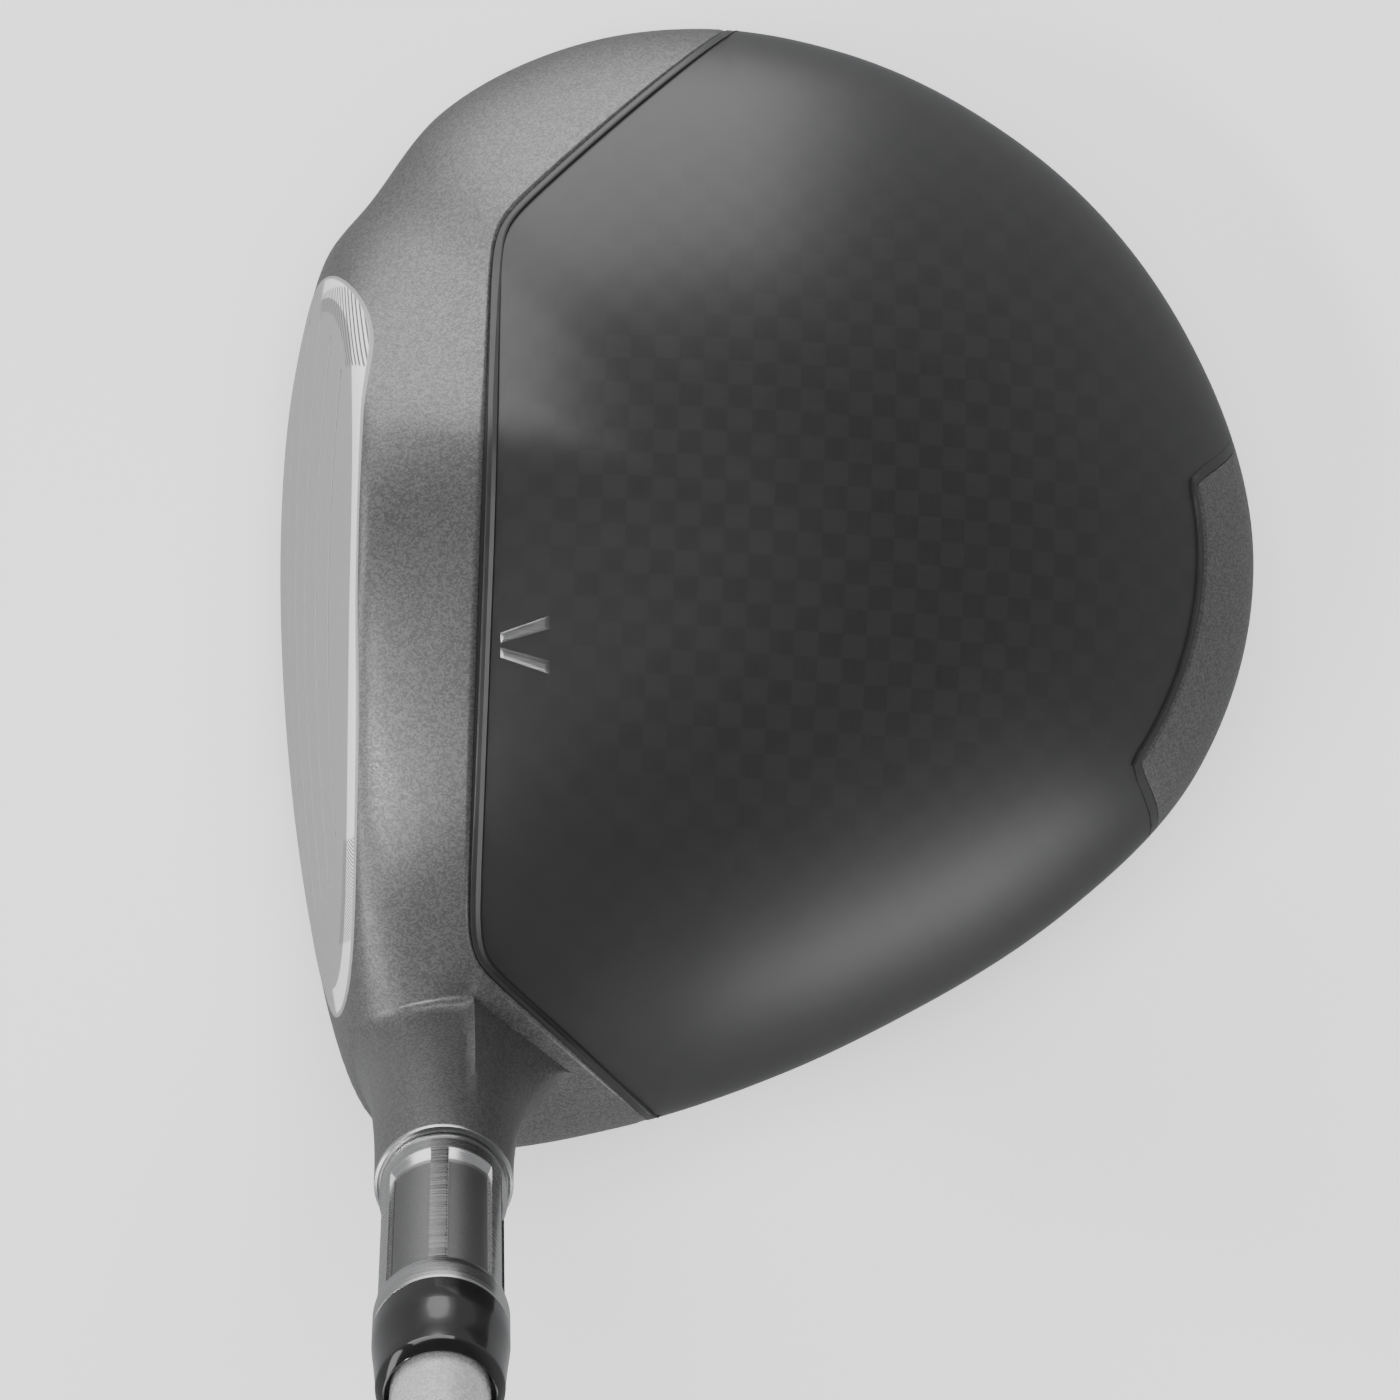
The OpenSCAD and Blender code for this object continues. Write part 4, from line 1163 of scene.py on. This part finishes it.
def makeShaftPaint():
    # bright silver with a fine flake, darker rings under the grip and near the foot
    f = Finish("shaftPaint")
    spot = f.place(shaftFrame)
    _, _, z = f.axes(spot)
    flake = f.node("TexVoronoi", {"feature": "F1"}, {"Vector": spot, "Scale": 4200}, "Color")
    sparkle = f.axes(flake)[0]
    base = f.blend(sparkle, grey(0.5), grey(0.66))
    dark = f.blend(sparkle, grey(0.05), grey(0.075))
    bands = 0
    for low, high in ((0.300, 0.302), (0.304, 0.312), (0.314, 0.316), (0.560, 0.562), (0.564, 0.620)):
        bands = z.ramp(low - 0.0001, low + 0.0001) * (1 - z.ramp(high - 0.0001, high + 0.0001)) + bands
    return f.surface(baseColor=f.blend(bands, base, dark), metallic=0.35,
        roughness=sparkle.ramp(0.2, 0.8, 0.24, 0.32), coatWeight=0.8, coatRoughness=0.08)


def makeCork():
    f = Finish("plugCork")
    lumps = f.noise(f.place(), 900, 4.0)
    return f.surface(baseColor=f.blend(lumps, (0.16, 0.09, 0.045, 1), (0.4, 0.27, 0.15, 1)),
        roughness=0.8,
        normal=f.bump(lumps, 0.5, 0.0002))


def makeTape():
    f = Finish("tapePaper")
    fibres = f.noise(f.place(), 2600, 4.0)
    return f.surface(baseColor=f.blend(fibres, (0.5, 0.44, 0.3, 1), (0.66, 0.6, 0.45, 1)),
        roughness=0.75,
        normal=f.bump(fibres, 0.3, 0.00005))


def makeGripRubber():
    f = Finish("gripRubber")
    spot = f.place(shaftFrame)
    grain = f.noise(spot, 1700, 3.0)
    worn = f.noise(spot, 35, 3.0)
    _, _, z = f.axes(spot)
    rings = 0
    for low, high in ((0.8058, 0.8066), (1.0405, 1.0413)):
        rings = z.ramp(low - 0.0001, low) * (1 - z.ramp(high, high + 0.0001)) + rings
    shade = f.blend(grain * 0.6 + worn * 0.4, grey(0.011), grey(0.03))
    return f.surface(baseColor=f.blend(rings, shade, grey(0.3)),
        roughness=grain.ramp(0.3, 0.7, 0.55, 0.72),
        normal=f.bump(grain, 0.35, 0.00008))


crown = capPanel("crownPanel", crownEdge, 1, 1.2, 360, 62)
finishPiece(crown, "head", "crown_panel", "crown_carbon", makeCrownCarbon())
bondBlack = makeBond()
finishPiece(bondRing("crownBond", crownEdge), "head", "crown_bond", "bond", bondBlack)
print("crown done")

sole = capPanel("solePanel", soleEdge, -1, 1.2, 360, 52)
cutBy(sole, rod(12.1, -5, 1.05, Matrix.Identity(4), 128))
finishPiece(sole, "head", "sole_panel", "sole_carbon", makeSoleCarbon())
finishPiece(bondRing("soleBond", soleEdge), "head", "sole_bond", "bond", bondBlack)
print("sole done")

body = makeBody()
bodyPaint = makeBodyPaint("bodyPaint", 0.17)
finishPiece(body, "head", "titanium_body", "body_paint", bodyPaint, makeRimMetal())
intoHosel = hoselFrame.inverted()
for face in body.data.polygons:
    spot = intoHosel @ face.center / mm
    across = math.hypot(spot.x, spot.y)
    if spot.z > -0.6 and across < 7.31 or across < 6.0 and spot.z > -37:  # the bare rim and bore
        face.material_index = 1
print("body done")

housing = makeHousing()
finishPiece(housing, "head", "rear_housing", "housing_paint", makeBodyPaint("housingPaint", 0.15))
finishPiece(makeWeight(), "back_weight", "rear_weight", "weight_metal",
    makeMetal("weightMetal", weightFrame, 0.3, 0.42, (0.26, 0.36)))
screwSteel = makeMetal("screwSteel", weightFrame, 0.45, 0.6, (0.2, 0.3))
finishPiece(makeWeightScrew(), "back_weight_screw", "rear_weight_screw", "screw_steel", screwSteel)
finishPiece(makeHoselScrew(), "clamp_screw", "hosel_screw", "screw_steel",
    makeMetal("hoselScrewSteel", hoselFrame, 0.45, 0.6, (0.2, 0.3)))
finishPiece(makeSlotInsert(), "head", "sole_slot_insert", "slot_rubber", makeSlotRubber())
finishPiece(makeBadge(), "head", "sole_badge", "badge_metal",
    makeMetal("badgeMetal", Matrix.Identity(4), 0.5, 0.66))
print("housing, weight and sole details done")

finishPiece(makeFaceCover(), "head", "face_cover", "face_cover", makeFaceSkin())
finishPiece(makeMark(), "head", "alignment_mark", "mark_silver",
    makeMetal("markSilver", Matrix.Translation((0, 0.4, 0)), 0.62, 0.7, (0.3, 0.4)))
print("face done")

finishPiece(makeSleeve(), "club_shaft", "loft_sleeve", "sleeve_metal", makeSleeveMetal())
finishPiece(makeFerrule(), "club_shaft", "ferrule", "ferrule_gloss", makeFerruleGloss())
finishPiece(makeShaft(), "club_shaft", "shaft", "shaft_paint", makeShaftPaint())
finishPiece(makeGrip(), "club_shaft", "grip", "grip_rubber", makeGripRubber())
print("sleeve, shaft and grip done")

kept = {
    "face_plate": makePlateCarbon(), "sleeve_o_ring": makeSlotRubber(),
    "hosel_screw_washer": makeMetal("washerSteel", hoselFrame, 0.4, 0.5), "tip_plug": makeCork(),
    "grip_tape": makeTape(),
}
for node, material in kept.items():
    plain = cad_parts[node]
    plain.data.materials.clear()
    plain.data.materials.append(material)


def makeFloor():
    bpy.ops.object.select_all(action="DESELECT")
    bpy.ops.mesh.primitive_plane_add(size=14, location=(0, 0, -0.0006))
    floor = bpy.context.object
    floor.name = "studioFloor"
    f = Finish("floorWhite")
    wash = f.noise(f.place(), 3)
    floor.data.materials.append(f.surface(baseColor=f.blend(wash, grey(0.9), grey(0.93)), roughness=0.9,
        emissionColor=grey(1), emissionStrength=0.4))
    floor.visible_glossy = False  # the studio's dark air shows in the low edges instead
    return floor


def areaLight(name, at, target, size, power, tall=None):
    bpy.ops.object.light_add(type="AREA", location=at)
    light = bpy.context.object
    light.name = name
    light.data.shape = "RECTANGLE"
    light.data.size, light.data.size_y = size, tall or size
    light.data.energy = power
    light.rotation_mode = "QUATERNION"
    light.rotation_quaternion = (Vector(target) - Vector(at)).to_track_quat("-Z", "Y")
    return light


makeFloor()
areaLight("toeSoftbox", (-0.3, 1.17, 0.3), (0, 0, 0.03), 1.55, 15, 1.15)
areaLight("heelSoftbox", (0.74, -0.945, 0.15), (0, 0, 0.03), 0.6, 2.2, 0.22)
areaLight("neckSoftbox", (-0.85, -0.95, 0.25), (-0.03, -0.07, 0.06), 0.7, 3.0, 0.4)
areaLight("frontSoftbox", (-1.3, -0.15, 0.4), (0, 0, 0.03), 1.5, 6, 0.4)
areaLight("frontStrip", (-0.72, -0.42, 1.03), (0, 0, 0.03), 0.5, 5, 0.1)
overhead = areaLight("overheadSoftbox", (0, 0, 3.2), (0, 0, 0), 2.4, 130)
overhead.visible_glossy = False


def makeWorld():
    # darker overhead, brighter towards the horizon
    world = bpy.data.worlds.new("studioAir")
    world.use_nodes = True
    tree = world.node_tree
    place = tree.nodes.new("ShaderNodeTexCoord")
    split = tree.nodes.new("ShaderNodeSeparateXYZ")
    fall = tree.nodes.new("ShaderNodeMapRange")
    for socket, value in {"From Min": 0.0, "From Max": 0.6, "To Min": 0.4, "To Max": 0.08}.items():
        fall.inputs[socket].default_value = value
    tree.links.new(place.outputs["Generated"], split.inputs[0])
    tree.links.new(split.outputs["Z"], fall.inputs["Value"])
    tree.links.new(fall.outputs["Result"], tree.nodes["Background"].inputs["Strength"])
    tree.nodes["Background"].inputs["Color"].default_value = (0.97, 0.98, 1, 1)
    bpy.context.scene.world = world


makeWorld()

cameraSizes = {
    "at": (-0.03396, -0.05327, 0.4775), "aim": (0.056, 0.0842, -1), "up": (0.0035, 1, 0),
    "lens": 100.83, "sensor": 36,
}
bpy.ops.object.camera_add(location=cameraSizes["at"])
camera = bpy.context.object
back = -Vector(cameraSizes["aim"]).normalized()
side = Vector(cameraSizes["up"]).cross(back).normalized()
up = back.cross(side)
camera.rotation_mode = "QUATERNION"
camera.rotation_quaternion = Matrix((side, up, back)).transposed().to_quaternion()
camera.data.lens = cameraSizes["lens"]
camera.data.sensor_width = cameraSizes["sensor"]
camera.data.clip_start, camera.data.clip_end = 0.005, 20
bpy.context.scene.camera = camera
print("stage done")
